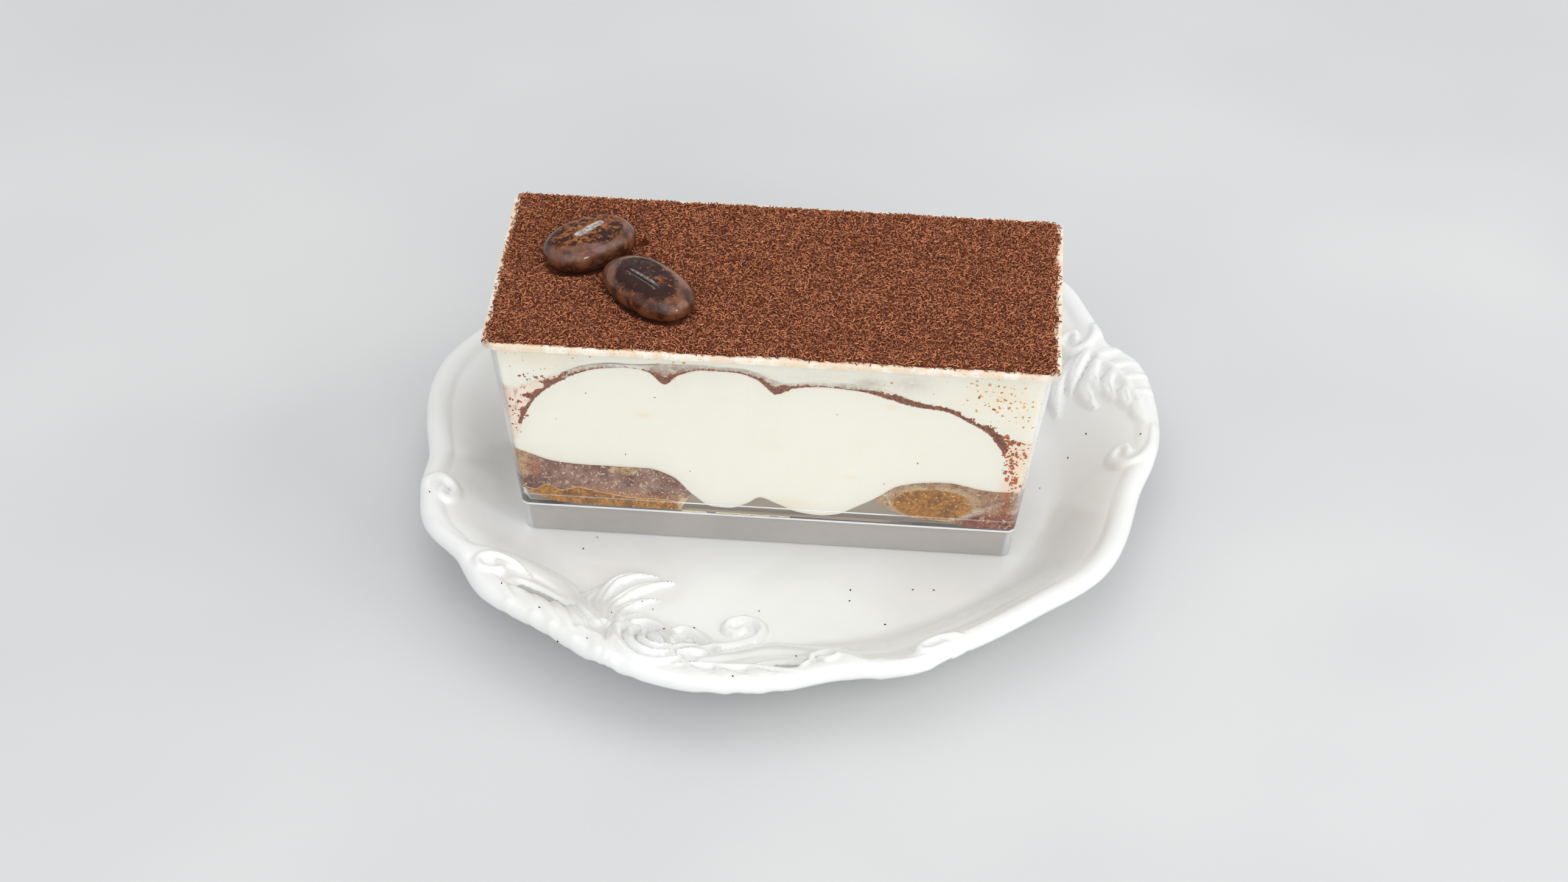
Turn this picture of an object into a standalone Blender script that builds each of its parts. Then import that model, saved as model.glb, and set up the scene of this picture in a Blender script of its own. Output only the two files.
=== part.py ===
"""Tiramisu portion in a clear dessert box, standing on a lobed white porcelain plate.

Lengths below are millimetres and MM turns them into metres. X runs along the box, Y away from
the front, Z up. The origin is the middle of the plate's extent, on the table.
"""

import math

import bmesh
import bpy
import numpy as np
from mathutils import Matrix, Vector

MM = 0.001
GAP = 0.3

# Plate: round foot and well, lobed rolled rim
WELL_TOP = 6.0
WELL_RADIUS = 62.5
RIM_RISE = 11.0
BODY_THICKNESS = 3.8
EDGE_ROUND = 2.1
FOOT_OUTER = 47.0
FOOT_INNER = 42.5
FOOT_RECESS = 2.0
FOOT_SLOPE = 1.5
MIDDLE_RING, WELL_RING = 8.0, 30.0
SLOPE_RINGS = 9
EDGE_TURNS = (60, 25, -15, -60, -100)
UNDERSIDE_STOPS = (0.8, 0.55, 0.3)
PLATE_STEPS = 96
RELIEF_LIFT = 0.2
CURL_STEPS = 14
CURL_TURN = 420
CURL_TUBE, CURL_THINS = 1.5, 0.35
CURL_TIGHTENS = 0.8
PETALS, PETAL_REACH = 6, 6.2
OPENING_STEPS, OPENING_DEPTH = 20, 30.0
# Rim outline as (angle in degrees, radius): the notches and swells of its lobes
RIM_KNOTS = (
    (-180, 86.4), (-171, 85.0), (-162, 88.2), (-152, 91.0), (-144, 89.6), (-134, 92.3),
    (-124, 91.4), (-113, 94.0), (-101, 95.5), (-89, 93.1), (-78, 88.9), (-69, 90.4),
    (-58, 86.9), (-45, 85.6), (-31, 87.5), (-10, 84.5), (4, 88.4), (16, 91.2), (26, 93.2),
    (32, 90.5), (40, 94.4), (50, 100.2), (64, 101.5), (80, 97.5), (92, 91.5), (103, 93.5),
    (116, 91.5), (128, 87.0), (140, 86.4), (153, 87.9), (164, 89.4), (172, 88.4),
)
# Place of the box's middle seen from the point that the rim's angles are measured from
BOX_FROM_PLATE = (-2.8, -4.0)

# Box: rim outside, foot outside, total height
RIM_LENGTH, RIM_WIDTH = 130.0, 65.3
FOOT_LENGTH, FOOT_WIDTH = 112.8, 46.8
BOX_HEIGHT = 57.3
# How far the rim stands out beyond the end walls and beyond the long ones
END_FLANGE, SIDE_FLANGE = 1.2, 2.7
FLANGE_THICKNESS = 1.5
BEAD = 0.4
WALL = 1.1
FLOOR_UNDER = 6.3
FLOOR_TOP = 8.0
FLOOR_BEVEL = 2.2
CORNER = 2.0
RIM_CORNER = 3.4
CORNER_STEPS = 4

# Food: outlines on the front wall as (distance along the box, height above its foot)
CREAM_UNDERSIDE = (
    (-60, 25.0), (-54.7, 22.8), (-49, 20.9), (-42, 20.4), (-28, 20.4), (-22, 18.2),
    (-17.7, 13.4), (-13, 9.8), (-9, 9.6), (-5, 11.2), (-1.8, 13.4), (2, 11.8), (7, 9.6),
    (12, 9.0), (16, 9.6), (21, 12.6), (25, 15.4), (30, 19.4), (36, 20.9), (41, 21.3),
    (50, 19.6), (53, 19.4), (60, 20.0),
)
CREAM_TOP = (
    (-60, 25.8), (-57.8, 27.6), (-56.4, 32.8), (-53.1, 40), (-48.8, 44.4), (-43.6, 47.9),
    (-38, 49.9), (-32, 50.5), (-27.5, 49.6), (-23.8, 46.2), (-20.5, 49.2), (-15, 51.0),
    (-8, 50.9), (-3, 49.2), (1.5, 45.2), (5.5, 47.2), (12, 48.1), (20, 47.5), (27, 45.6),
    (33, 43.8), (39.5, 43.0), (45.4, 39.9), (49.4, 37.3), (52, 33.7), (54.2, 29.0),
    (55.4, 24.5), (58, 21.5), (60, 21.0),
)
UPPER_UNDERSIDE = (
    (-62, 44.6), (-58.5, 42.8), (-54, 44.7), (-48.7, 47.3), (-43.5, 50.2), (-37, 51.3),
    (37, 44.3), (41.4, 43.4), (46.3, 40.9), (50.3, 38.1), (54, 35.6), (62, 34.6),
)
RIGHT_FINGER_UNDERSIDE = ((20, 14.6), (25, 13.9), (29, 11.6), (34, 10.0), (42, 9.3), (46, 8.3), (62, 8.3))
LEFT_FINGER_UNDERSIDE = ((-62, 14.0), (-57, 12.4), (-53.5, 10.3), (-48, 8.5), (-40, 8.3), (0, 8.3))
# Space between the ladyfingers and the cream over them
FINGER_GAP = 2.5 * GAP
# The left ladyfinger's end leans: its place at the top of the floor and how far it moves for each rise
LEFT_FINGER_END, LEFT_FINGER_LEAN = -20.4, 0.5
RIGHT_FINGER_START = 25.0
COCOA_LAYER = 0.6
CREAM_LEVEL = 55.2
COCOA_LEVEL = 57.9
COCOA_ROUGHNESS = 0.22
COCOA_INSET = 1.2
COCOA_STEP = 0.6
COCOA_ALONG, COCOA_ACROSS = 31, 15
LEAST_CREAM = 1.0
# How the layers drift and roll between the front wall and the back one
DRIFT, DRIFT_LENGTH = 3.0, 17
ROLL, ROLL_LENGTH = 0.7, 9
# Faces of a layer along and across the box, and how they crowd towards its ends
ALONG, FINGER_ALONG, ACROSS = 45, 17, 5
CROWDING = 0.75
SETTLE_STEPS, SETTLE_SHARE = 25, 0.6

# Beans: length, width, height, then (x, y, turn in degrees) of each from the box's middle
BEAN_LENGTH, BEAN_WIDTH, BEAN_HEIGHT = 24.6, 14.6, 9.4
BEAN_SUNK = 1.3
BEAN_SLOT = (9.0, 1.3, 1.1)
BEAN_SWELL = 0.06
# The powder's hollow under a bean: its reach in beans, its flat middle and how fast it rises
HOLLOW_REACH, HOLLOW_FLAT, HOLLOW_RISE = 1.25, 0.75, 1.6
HOLLOW_GAP = 2.5 * GAP
BEANS = ((-44.4, 5.3, 40.0), (-29.0, -12.0, -43.0))


def curve_value(knots, at):
    """Height of a smooth curve through the knots that never overshoots between two of them."""
    xs, ys = np.array(knots, float).T
    step = np.diff(xs)
    slope = np.diff(ys) / step
    turn = slope[:-1] * slope[1:] > 0
    inner = np.where(turn, 2 * slope[:-1] * slope[1:] / np.where(turn, slope[:-1] + slope[1:], 1), 0)
    tangent = np.concatenate([slope[:1], inner, slope[-1:]])
    i = int(np.clip(np.searchsorted(xs, at) - 1, 0, len(step) - 1))
    t = min(max((at - xs[i]) / step[i], 0.0), 1.0)
    rise = ys[i] * (1 + 2 * t) * (1 - t) ** 2 + ys[i + 1] * t * t * (3 - 2 * t)
    return rise + step[i] * (tangent[i] * t * (1 - t) ** 2 - tangent[i + 1] * t * t * (1 - t))


def rim_radius(angle):
    wrapped = (angle + 180) % 360 - 180
    return curve_value(RIM_KNOTS + ((180, RIM_KNOTS[0][1]),), wrapped)


def on_circle(radius, angle):
    return np.array([math.cos(math.radians(angle)), math.sin(math.radians(angle))]) * radius


def plate_centre():
    """Where the rim's angles are measured from, with the plate's extent centred on the origin."""
    rim = np.array([on_circle(rim_radius(a), a) for a in np.arange(0, 360, 360 / PLATE_STEPS)])
    return -(rim.min(axis=0) + rim.max(axis=0)) / 2


PLATE_AT = plate_centre()
BOX_AT = PLATE_AT + BOX_FROM_PLATE
BOX_FOOT = WELL_TOP + GAP


def new_object(name, mesh, collection):
    thing = bpy.data.objects.new(name, mesh)
    collection.objects.link(thing)
    return thing


def finish_mesh(name, bm, collection, smooth=True):
    """An object from the bmesh, which is in millimetres."""
    bmesh.ops.recalc_face_normals(bm, faces=bm.faces)
    bmesh.ops.scale(bm, vec=(MM, MM, MM), verts=bm.verts)
    mesh = bpy.data.meshes.new(name)
    bm.to_mesh(mesh)
    bm.free()
    if smooth:
        mesh.shade_smooth()
        mesh.set_sharp_from_angle(angle=math.radians(35))
    return new_object(name, mesh, collection)


def add_loft(bm, rings):
    """Skin the rings, each a list of as many points, and cap the first and the last."""
    loops = [[bm.verts.new(point) for point in ring] for ring in rings]
    count = len(loops[0])
    for low, high in zip(loops, loops[1:]):
        for i in range(count):
            j = (i + 1) % count
            bm.faces.new((low[i], low[j], high[j], high[i]))
    bm.faces.new(loops[0])
    bm.faces.new(loops[-1])


def material(name, colour, roughness, transmission=0.0):
    made = bpy.data.materials.new(name)
    made.use_nodes = True
    shader = made.node_tree.nodes["Principled BSDF"]
    shader.inputs["Base Color"].default_value = (*colour, 1.0)
    shader.inputs["Roughness"].default_value = roughness
    shader.inputs["Metallic"].default_value = 0.0
    shader.inputs["Transmission Weight"].default_value = transmission
    return made


def porcelain():
    return material("porcelain", (0.9, 0.9, 0.9), 0.12)


def clear_plastic():
    return material("clear_plastic", (0.97, 0.97, 0.97), 0.05, transmission=1.0)


def sponge():
    return material("sponge", (0.36, 0.2, 0.1), 0.6)


def cream():
    return material("cream", (0.86, 0.84, 0.74), 0.45)


def cocoa():
    return material("cocoa", (0.2, 0.07, 0.035), 0.9)


def chocolate():
    return material("chocolate", (0.08, 0.035, 0.02), 0.25)


# Plate


def plate_top(angle, radius):
    """Height of the plate's upper face above the table."""
    t = (radius - WELL_RADIUS) / (rim_radius(angle) - EDGE_ROUND - WELL_RADIUS)
    t = min(max(t, 0.0), 1.0)
    return WELL_TOP + RIM_RISE * t * t * (3 - 2 * t)


def plate_section(angle):
    """Section from the middle of the upper face, round the rolled edge, to the middle below."""
    edge = rim_radius(angle) - EDGE_ROUND
    radii = [MIDDLE_RING, WELL_RING, *np.linspace(WELL_RADIUS, edge, SLOPE_RINGS)]
    points = [(radius, plate_top(angle, radius)) for radius in radii]
    low = points[-1][1] - EDGE_ROUND
    for turn in EDGE_TURNS:
        away = math.cos(math.radians(turn)) * EDGE_ROUND
        points.append((edge + away, low + math.sin(math.radians(turn)) * EDGE_ROUND))
    for t in UNDERSIDE_STOPS:
        radius = FOOT_OUTER + (edge - FOOT_OUTER) * t
        points.append((radius, plate_top(angle, radius) - BODY_THICKNESS))
    points += [(FOOT_OUTER + FOOT_SLOPE, FOOT_SLOPE), (FOOT_OUTER, 0.0), (FOOT_INNER, 0.0)]
    points += [(FOOT_INNER - FOOT_SLOPE, FOOT_RECESS), (MIDDLE_RING, FOOT_RECESS)]
    return points


def plate_body(collection):
    sections = [(a, plate_section(a)) for a in np.arange(0, 360, 360 / PLATE_STEPS)]
    rings = []
    for k in range(len(sections[0][1])):
        ring = [on_circle(section[k][0], a) + PLATE_AT for a, section in sections]
        rings.append([(x, y, section[k][1]) for (x, y), (_, section) in zip(ring, sections)])
    bm = bmesh.new()
    add_loft(bm, rings)
    return finish_mesh("plate", bm, collection)


def above_plate(x, y, lift=0.0):
    """The point this far above the plate's upper face."""
    dx, dy = np.array([x, y]) - PLATE_AT
    return Vector((x, y, plate_top(math.degrees(math.atan2(dy, dx)), math.hypot(dx, dy)) + lift))


def on_plate(angle, inset, lift=0.0):
    """A point of the plate's upper face, the inset measured inwards from the rim's edge."""
    return above_plate(*(on_circle(rim_radius(angle) - inset, angle) + PLATE_AT), lift)


def swept(name, points, radii, collection):
    """A closed tube of changing radius along the points."""
    path = bpy.data.curves.new(name, "CURVE")
    path.dimensions = "3D"
    path.bevel_depth = MM
    path.bevel_resolution = 1
    path.use_fill_caps = True
    spline = path.splines.new("POLY")
    spline.points.add(len(points) - 1)
    for knot, point, radius in zip(spline.points, points, radii):
        knot.co = (*(Vector(point) * MM), 1.0)
        knot.radius = radius
    guide = new_object(name, path, collection)
    bpy.context.view_layer.update()
    mesh = bpy.data.meshes.new_from_object(guide.evaluated_get(bpy.context.evaluated_depsgraph_get()))
    bpy.data.objects.remove(guide)
    bm = bmesh.new()
    bm.from_mesh(mesh)
    bmesh.ops.remove_doubles(bm, verts=bm.verts, dist=1e-6)
    bmesh.ops.recalc_face_normals(bm, faces=bm.faces)
    bm.to_mesh(mesh)
    bm.free()
    new_object(name, mesh, collection)


def curl(name, angle, inset, size, turn, collection, hand=1):
    """A scroll end: a tube that winds inwards on the plate's face."""
    centre = on_plate(angle, inset)
    points, radii = [], []
    for t in np.linspace(0, 1, CURL_STEPS):
        reach = size * (1 - CURL_TIGHTENS * t)
        away = on_circle(reach, turn + hand * CURL_TURN * t)
        points.append(above_plate(centre.x + away[0], centre.y + away[1], RELIEF_LIFT))
        radii.append(CURL_TUBE * (1 - CURL_THINS * t))
    swept(name, points, radii, collection)


def ribbon(name, stops, radius, collection):
    """A raised band through (angle, inset) stops, thinner at its ends."""
    points = [on_plate(angle, inset, RELIEF_LIFT) for angle, inset in stops]
    last = len(points) - 1
    radii = [radius * (0.55 + 0.45 * math.sin(math.pi * i / last)) for i in range(last + 1)]
    swept(name, points, radii, collection)


def pebble(name, place, turn, size, collection):
    """A squashed ball: one leaf or one petal."""
    bm = bmesh.new()
    bmesh.ops.create_icosphere(bm, subdivisions=1, radius=1.0)
    stretch = Matrix.Diagonal((size[0] / 2, size[1] / 2, size[2] / 2, 1.0))
    spin = Matrix.Rotation(math.radians(turn), 4, "Z")
    bmesh.ops.transform(bm, matrix=Matrix.Translation(place) @ spin @ stretch, verts=bm.verts)
    finish_mesh(name, bm, collection)


def rose(collection):
    centre = on_plate(-109, 18)
    pebble("rose_heart", centre + Vector((0, 0, 0.8)), 0, (9, 9, 5), collection)
    for turn in range(20, 380, 360 // PETALS):
        away = Vector((*on_circle(PETAL_REACH, turn), 0))
        pebble("petal", centre + away, turn + 90, (9, 6, 3.6), collection)


def leaves(name, stops, size, collection):
    """Leaves at (angle, inset, turn) stops."""
    for angle, inset, turn in stops:
        pebble(name, on_plate(angle, inset, RELIEF_LIFT), turn, size, collection)


def plate_ornament(collection):
    rose(collection)
    leaves("flower", [(-100, 18, 0), (-98, 22, 70)], (6, 5, 3), collection)
    spray = [(-131, 23, 105), (-127, 25, 85), (-123, 28, 62), (-119, 31, 42), (-118, 25, 25)]
    leaves("spray", spray, (14, 5.5, 2.8), collection)
    rim_leaves = [(angle, 7, 12 + (angle + 104) * 1.1) for angle in range(-100, -72, 6)]
    leaves("rim_leaf", rim_leaves, (10, 4.5, 2.6), collection)
    side_leaves = [(angle, 7 + (angle - 12) * 0.12, angle + 35) for angle in range(12, 38, 5)]
    leaves("side_leaf", side_leaves, (12, 5, 2.8), collection)
    ribbon("left_band", [(-163, 9), (-155, 12), (-147, 17), (-139, 19), (-131, 20)], 2.2, collection)
    ribbon("front_band", [(-97, 21), (-92, 20), (-87, 19), (-82, 16), (-77, 11)], 2.0, collection)
    curl("left_curl", -165, 6, 5.0, 200, collection)
    curl("scroll", -144, 7.5, 4.6, 60, collection, hand=-1)
    curl("inner_curl", -95, 26, 4.8, 250, collection, hand=-1)
    curl("small_scroll", -79, 13, 3.6, 200, collection)
    curl("front_curl", -61, 8, 5.0, 150, collection, hand=-1)
    curl("right_curl", 4, 6.5, 5.0, 330, collection, hand=-1)
    curl("far_curl", 40, 12, 4.8, 60, collection)


def opening(name, start, end, width, collection):
    """A slot through the rim between two (angle, inset) places."""
    a, b = on_plate(*start), on_plate(*end)
    middle, along = (a + b) / 2, b - a
    bm = bmesh.new()
    size = {"radius1": 0.5, "radius2": 0.5, "depth": OPENING_DEPTH}
    bmesh.ops.create_cone(bm, cap_ends=True, segments=OPENING_STEPS, **size)
    stretch = Matrix.Diagonal((along.length, width, 1.0, 1.0))
    spin = Matrix.Rotation(math.atan2(along.y, along.x), 4, "Z")
    bmesh.ops.transform(bm, matrix=Matrix.Translation(middle) @ spin @ stretch, verts=bm.verts)
    cutter = finish_mesh(name, bm, collection, smooth=False)
    cutter.hide_render = True
    cutter.display_type = "WIRE"


def keep_largest_piece(mesh):
    """Drop the scraps that a join leaves, and with them the skin of any hollow it seals."""
    bm = bmesh.new()
    bm.from_mesh(mesh)
    left, pieces = set(bm.verts), []
    while left:
        piece, edge = set(), {left.pop()}
        while edge:
            piece |= edge
            edge = {e.other_vert(v) for v in edge for e in v.link_edges} - piece
        left -= piece
        pieces.append(piece)
    pieces.sort(key=len)
    bmesh.ops.delete(bm, geom=[v for piece in pieces[:-1] for v in piece], context="VERTS")
    bm.to_mesh(mesh)
    bm.free()


def apply_boolean(thing, operation, collection):
    """Join or cut with every object of the collection, then remove those objects."""
    step = thing.modifiers.new(operation.title(), "BOOLEAN")
    step.operation = operation
    step.operand_type = "COLLECTION"
    step.collection = collection
    step.solver = "MANIFOLD"
    bpy.context.view_layer.update()
    mesh = bpy.data.meshes.new_from_object(thing.evaluated_get(bpy.context.evaluated_depsgraph_get()))
    thing.modifiers.clear()
    keep_largest_piece(mesh)
    thing.data = mesh
    for other in list(collection.objects):
        bpy.data.objects.remove(other)


def plate(collection, cutters):
    made = plate_body(collection)
    plate_ornament(cutters)
    apply_boolean(made, "UNION", cutters)
    opening("left_opening", (-138, 11.5), (-125, 14), 4.4, cutters)
    opening("front_opening", (-91.5, 13.5), (-83.5, 12), 3.0, cutters)
    apply_boolean(made, "DIFFERENCE", cutters)
    made.data.materials.clear()
    made.data.materials.append(porcelain())


# Box


def outer_half(z):
    """Half the length and half the width of the box's outside at height z above its foot."""
    t = z / BOX_HEIGHT
    length = FOOT_LENGTH + (RIM_LENGTH - 2 * END_FLANGE - FOOT_LENGTH) * t
    width = FOOT_WIDTH + (RIM_WIDTH - 2 * SIDE_FLANGE - FOOT_WIDTH) * t
    return length / 2, width / 2


def rounded_ring(half_x, half_y, z, corner):
    """A rounded rectangle round the box's middle."""
    ring = []
    for quarter, (sx, sy) in enumerate(((1, 1), (-1, 1), (-1, -1), (1, -1))):
        for step in range(CORNER_STEPS + 1):
            a = math.radians(90 * (quarter + step / CORNER_STEPS))
            x = sx * (half_x - corner) + corner * math.cos(a)
            y = sy * (half_y - corner) + corner * math.sin(a)
            ring.append((BOX_AT[0] + x, BOX_AT[1] + y, BOX_FOOT + z))
    return ring


def box_wall_ring(z, inwards):
    half_x, half_y = outer_half(z)
    return rounded_ring(half_x - inwards, half_y - inwards, z, CORNER - inwards)


def flange_ring(z, inwards):
    return rounded_ring(RIM_LENGTH / 2 - inwards, RIM_WIDTH / 2 - inwards, z, RIM_CORNER - inwards)


def box(collection):
    """Walls, rim flange, raised floor and the skirt below it, as one shell."""
    under = BOX_HEIGHT - FLANGE_THICKNESS
    bevel_top = FLOOR_TOP + FLOOR_BEVEL
    floor_x, floor_y = outer_half(bevel_top)
    floor_in = WALL + FLOOR_BEVEL / 2
    rings = [
        box_wall_ring(FLOOR_UNDER, WALL),
        box_wall_ring(0, WALL),
        box_wall_ring(0, 0),
        box_wall_ring(FLOOR_TOP, 0),
        box_wall_ring(under, 0),
        flange_ring(under, BEAD),
        flange_ring(under + BEAD, 0),
        flange_ring(BOX_HEIGHT - BEAD, 0),
        flange_ring(BOX_HEIGHT, BEAD),
        box_wall_ring(BOX_HEIGHT, WALL),
        box_wall_ring(bevel_top, WALL),
        rounded_ring(floor_x - floor_in, floor_y - floor_in, FLOOR_TOP, CORNER - WALL),
    ]
    bm = bmesh.new()
    add_loft(bm, rings)
    made = finish_mesh("box", bm, collection)
    made.data.materials.append(clear_plastic())


# Food


def wavy(knots, x, depth):
    """A layer's height at x; depth is 0 at the front wall and 1 at the back, where it drifts."""
    drift = DRIFT * depth * math.sin(x / DRIFT_LENGTH)
    return curve_value(knots, x + drift) + ROLL * depth * math.sin(x / ROLL_LENGTH + 1)


def lower_cream_under(x, depth):
    return max(wavy(CREAM_UNDERSIDE, x, depth), FLOOR_TOP + LEAST_CREAM)


def lower_cream_top(x, depth):
    return max(wavy(CREAM_TOP, x, depth), lower_cream_under(x, depth) + LEAST_CREAM)


def cocoa_layer_top(x, depth):
    least = lower_cream_top(x, depth) + GAP + COCOA_LAYER
    return min(max(least, wavy(UPPER_UNDERSIDE, x, depth) - GAP), CREAM_LEVEL - LEAST_CREAM)


def round_corner(x, y, half_x, half_y, corner):
    """Move a point of the rectangle to its place inside the rounded rectangle."""
    over_x, over_y = abs(x) - (half_x - corner), abs(y) - (half_y - corner)
    if over_x <= 0 or over_y <= 0:
        return x, y
    shrink = max(over_x, over_y) / math.hypot(over_x, over_y)
    x = math.copysign(half_x - corner + over_x * shrink, x)
    return x, math.copysign(half_y - corner + over_y * shrink, y)


def inside_point(u, v, height, left=None, right=None):
    """The point at u along and v across (both -1 to 1) whose height follows the rule."""
    z = BOX_HEIGHT / 2
    for _ in range(SETTLE_STEPS):
        half_x, half_y = (half - WALL - GAP for half in outer_half(min(z, BOX_HEIGHT)))
        inset = max(0.0, (FLOOR_TOP + FLOOR_BEVEL + GAP - z) / 2)
        half_x, half_y = half_x - inset, half_y - inset
        low = -half_x if left is None else left
        high = half_x if right is None else right + LEFT_FINGER_LEAN * (z - FLOOR_TOP)
        x, y = round_corner(low + (high - low) * (u + 1) / 2, v * half_y, half_x, half_y, CORNER - WALL)
        z += SETTLE_SHARE * (height(x, (v + 1) / 2) - z)
    return BOX_AT[0] + x, BOX_AT[1] + y, BOX_FOOT + z


def add_block(bm, us, vs, point_low, point_high):
    """A closed block over a grid: its lower and its upper face, and the four sides."""
    layers = [[[bm.verts.new(at(u, v)) for v in vs] for u in us] for at in (point_low, point_high)]
    low, high = layers
    for i in range(len(us) - 1):
        for j in range(len(vs) - 1):
            bm.faces.new((low[i][j], low[i][j + 1], low[i + 1][j + 1], low[i + 1][j]))
            bm.faces.new((high[i][j], high[i + 1][j], high[i + 1][j + 1], high[i][j + 1]))
    rim = [(i, 0) for i in range(len(us))] + [(len(us) - 1, j) for j in range(1, len(vs))]
    rim += [(i, len(vs) - 1) for i in range(len(us) - 2, -1, -1)] + [(0, j) for j in range(len(vs) - 2, 0, -1)]
    for (i, j), (k, m) in zip(rim, rim[1:] + rim[:1]):
        bm.faces.new((low[i][j], low[k][m], high[k][m], high[i][j]))


def stations(count):
    """Places from -1 to 1, closer together near both ends."""
    even = np.linspace(-1, 1, count)
    return np.sign(even) * (1 - (1 - np.abs(even)) ** (1 / CROWDING))


def layer(name, low, high, skin, collection, along=ALONG, left=None, right=None):
    us = stations(along)
    vs = stations(ACROSS)
    bm = bmesh.new()
    add_block(
        bm,
        us,
        vs,
        lambda u, v: inside_point(u, v, low, left, right),
        lambda u, v: inside_point(u, v, high, left, right),
    )
    made = finish_mesh(name, bm, collection)
    made.data.materials.append(skin)


def ladyfingers(collection):
    skin = sponge()
    layer(
        "ladyfinger_left",
        lambda x, depth: curve_value(LEFT_FINGER_UNDERSIDE, x),
        lambda x, depth: lower_cream_under(x, depth) - FINGER_GAP,
        skin,
        collection,
        along=FINGER_ALONG,
        right=LEFT_FINGER_END,
    )
    layer(
        "ladyfinger_right",
        lambda x, depth: curve_value(RIGHT_FINGER_UNDERSIDE, x),
        lambda x, depth: lower_cream_under(x, depth) - FINGER_GAP,
        skin,
        collection,
        along=FINGER_ALONG,
        left=RIGHT_FINGER_START,
    )


def creams(collection):
    skin = cream()
    layer("cream_lower", lower_cream_under, lower_cream_top, skin, collection)
    layer(
        "cream_upper",
        lambda x, depth: cocoa_layer_top(x, depth) + GAP,
        lambda x, depth: CREAM_LEVEL,
        skin,
        collection,
    )


def cocoa_between(collection):
    layer(
        "cocoa_layer",
        lambda x, depth: lower_cream_top(x, depth) + GAP,
        cocoa_layer_top,
        cocoa(),
        collection,
    )


def bean_under(x, y):
    """Lowest height that a bean leaves free at this place, or None away from the beans."""
    for bean_x, bean_y, turn in BEANS:
        dx, dy = x - bean_x, y - bean_y
        c, s = math.cos(math.radians(turn)), math.sin(math.radians(turn))
        reach = math.hypot((dx * c + dy * s) / (BEAN_LENGTH / 2), (dy * c - dx * s) / (BEAN_WIDTH / 2))
        if reach < HOLLOW_REACH:
            rise = HOLLOW_RISE * max(reach - HOLLOW_FLAT, 0) ** 2
            return COCOA_LEVEL - BEAN_SUNK - HOLLOW_GAP + rise
    return None


def cocoa_stations(mouth, half, count):
    """Even places inside the mouth of the box, then its edge and the edge of the powder."""
    inner, step = mouth - 2 * COCOA_STEP / half, mouth - COCOA_STEP / 3 / half
    return np.concatenate([[-1, -step], np.linspace(-inner, inner, count), [step, 1]])


def cocoa_top(collection):
    """Powder that fills the mouth of the box and lies over its rim."""
    rng = np.random.default_rng(7)
    half_x, half_y = RIM_LENGTH / 2 - COCOA_INSET, RIM_WIDTH / 2 - COCOA_INSET
    mouth_x, mouth_y = (half - WALL - GAP for half in outer_half(CREAM_LEVEL))
    us = cocoa_stations(mouth_x / half_x, half_x, COCOA_ALONG)
    vs = cocoa_stations(mouth_y / half_y, half_y, COCOA_ACROSS)
    bumps = rng.normal(0, COCOA_ROUGHNESS, (len(us), len(vs)))

    def spread(u, v):
        return round_corner(u * half_x, v * half_y, half_x, half_y, RIM_CORNER)

    def high(u, v):
        x, y = spread(u, v)
        z = COCOA_LEVEL + bumps[np.searchsorted(us, u - 1e-6), np.searchsorted(vs, v - 1e-6)]
        edge = max(abs(x) / half_x, abs(y) / half_y)
        z = min(z, bean_under(x, y) or z) if edge < 0.9 else COCOA_LEVEL + 0.2 * (z - COCOA_LEVEL)
        return BOX_AT[0] + x, BOX_AT[1] + y, BOX_FOOT + z

    def low(u, v):
        x, y = spread(u, v)
        over_rim = abs(x) > mouth_x - COCOA_STEP or abs(y) > mouth_y - COCOA_STEP
        z = BOX_HEIGHT + GAP if over_rim else CREAM_LEVEL + GAP
        return BOX_AT[0] + x, BOX_AT[1] + y, BOX_FOOT + z

    bm = bmesh.new()
    add_block(bm, us, vs, low, high)
    made = finish_mesh("cocoa_top", bm, collection)
    made.data.materials.append(cocoa())


def bean(number, x, y, turn, collection, cutters):
    """A domed chocolate bean with a slot along its top."""
    middle = BOX_FOOT + COCOA_LEVEL - BEAN_SUNK + BEAN_HEIGHT / 2
    place = Matrix.Translation((BOX_AT[0] + x, BOX_AT[1] + y, middle))
    spin = Matrix.Rotation(math.radians(turn), 4, "Z")
    bm = bmesh.new()
    bmesh.ops.create_uvsphere(bm, u_segments=24, v_segments=12, radius=0.5)
    for vert in bm.verts:
        flat = vert.co.xy.length * 2
        vert.co.xy *= 1 + BEAN_SWELL * math.sin(math.pi * flat)
    size = Matrix.Diagonal((BEAN_LENGTH, BEAN_WIDTH, BEAN_HEIGHT, 1.0))
    bmesh.ops.transform(bm, matrix=place @ spin @ size, verts=bm.verts)
    made = finish_mesh(f"bean_{number}", bm, collection)
    slot = bmesh.new()
    bmesh.ops.create_uvsphere(slot, u_segments=12, v_segments=6, radius=0.5)
    length, width, depth = BEAN_SLOT
    carve = Matrix.Translation((0, 0, BEAN_HEIGHT / 2)) @ Matrix.Diagonal((length, width, 2 * depth, 1.0))
    bmesh.ops.transform(slot, matrix=place @ spin @ carve, verts=slot.verts)
    cutter = finish_mesh("bean_slot", slot, cutters, smooth=False)
    cutter.hide_render = True
    apply_boolean(made, "DIFFERENCE", cutters)
    made.data.materials.clear()
    made.data.materials.append(chocolate())


def clear_scene():
    for thing in list(bpy.data.objects):
        bpy.data.objects.remove(thing)


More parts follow.
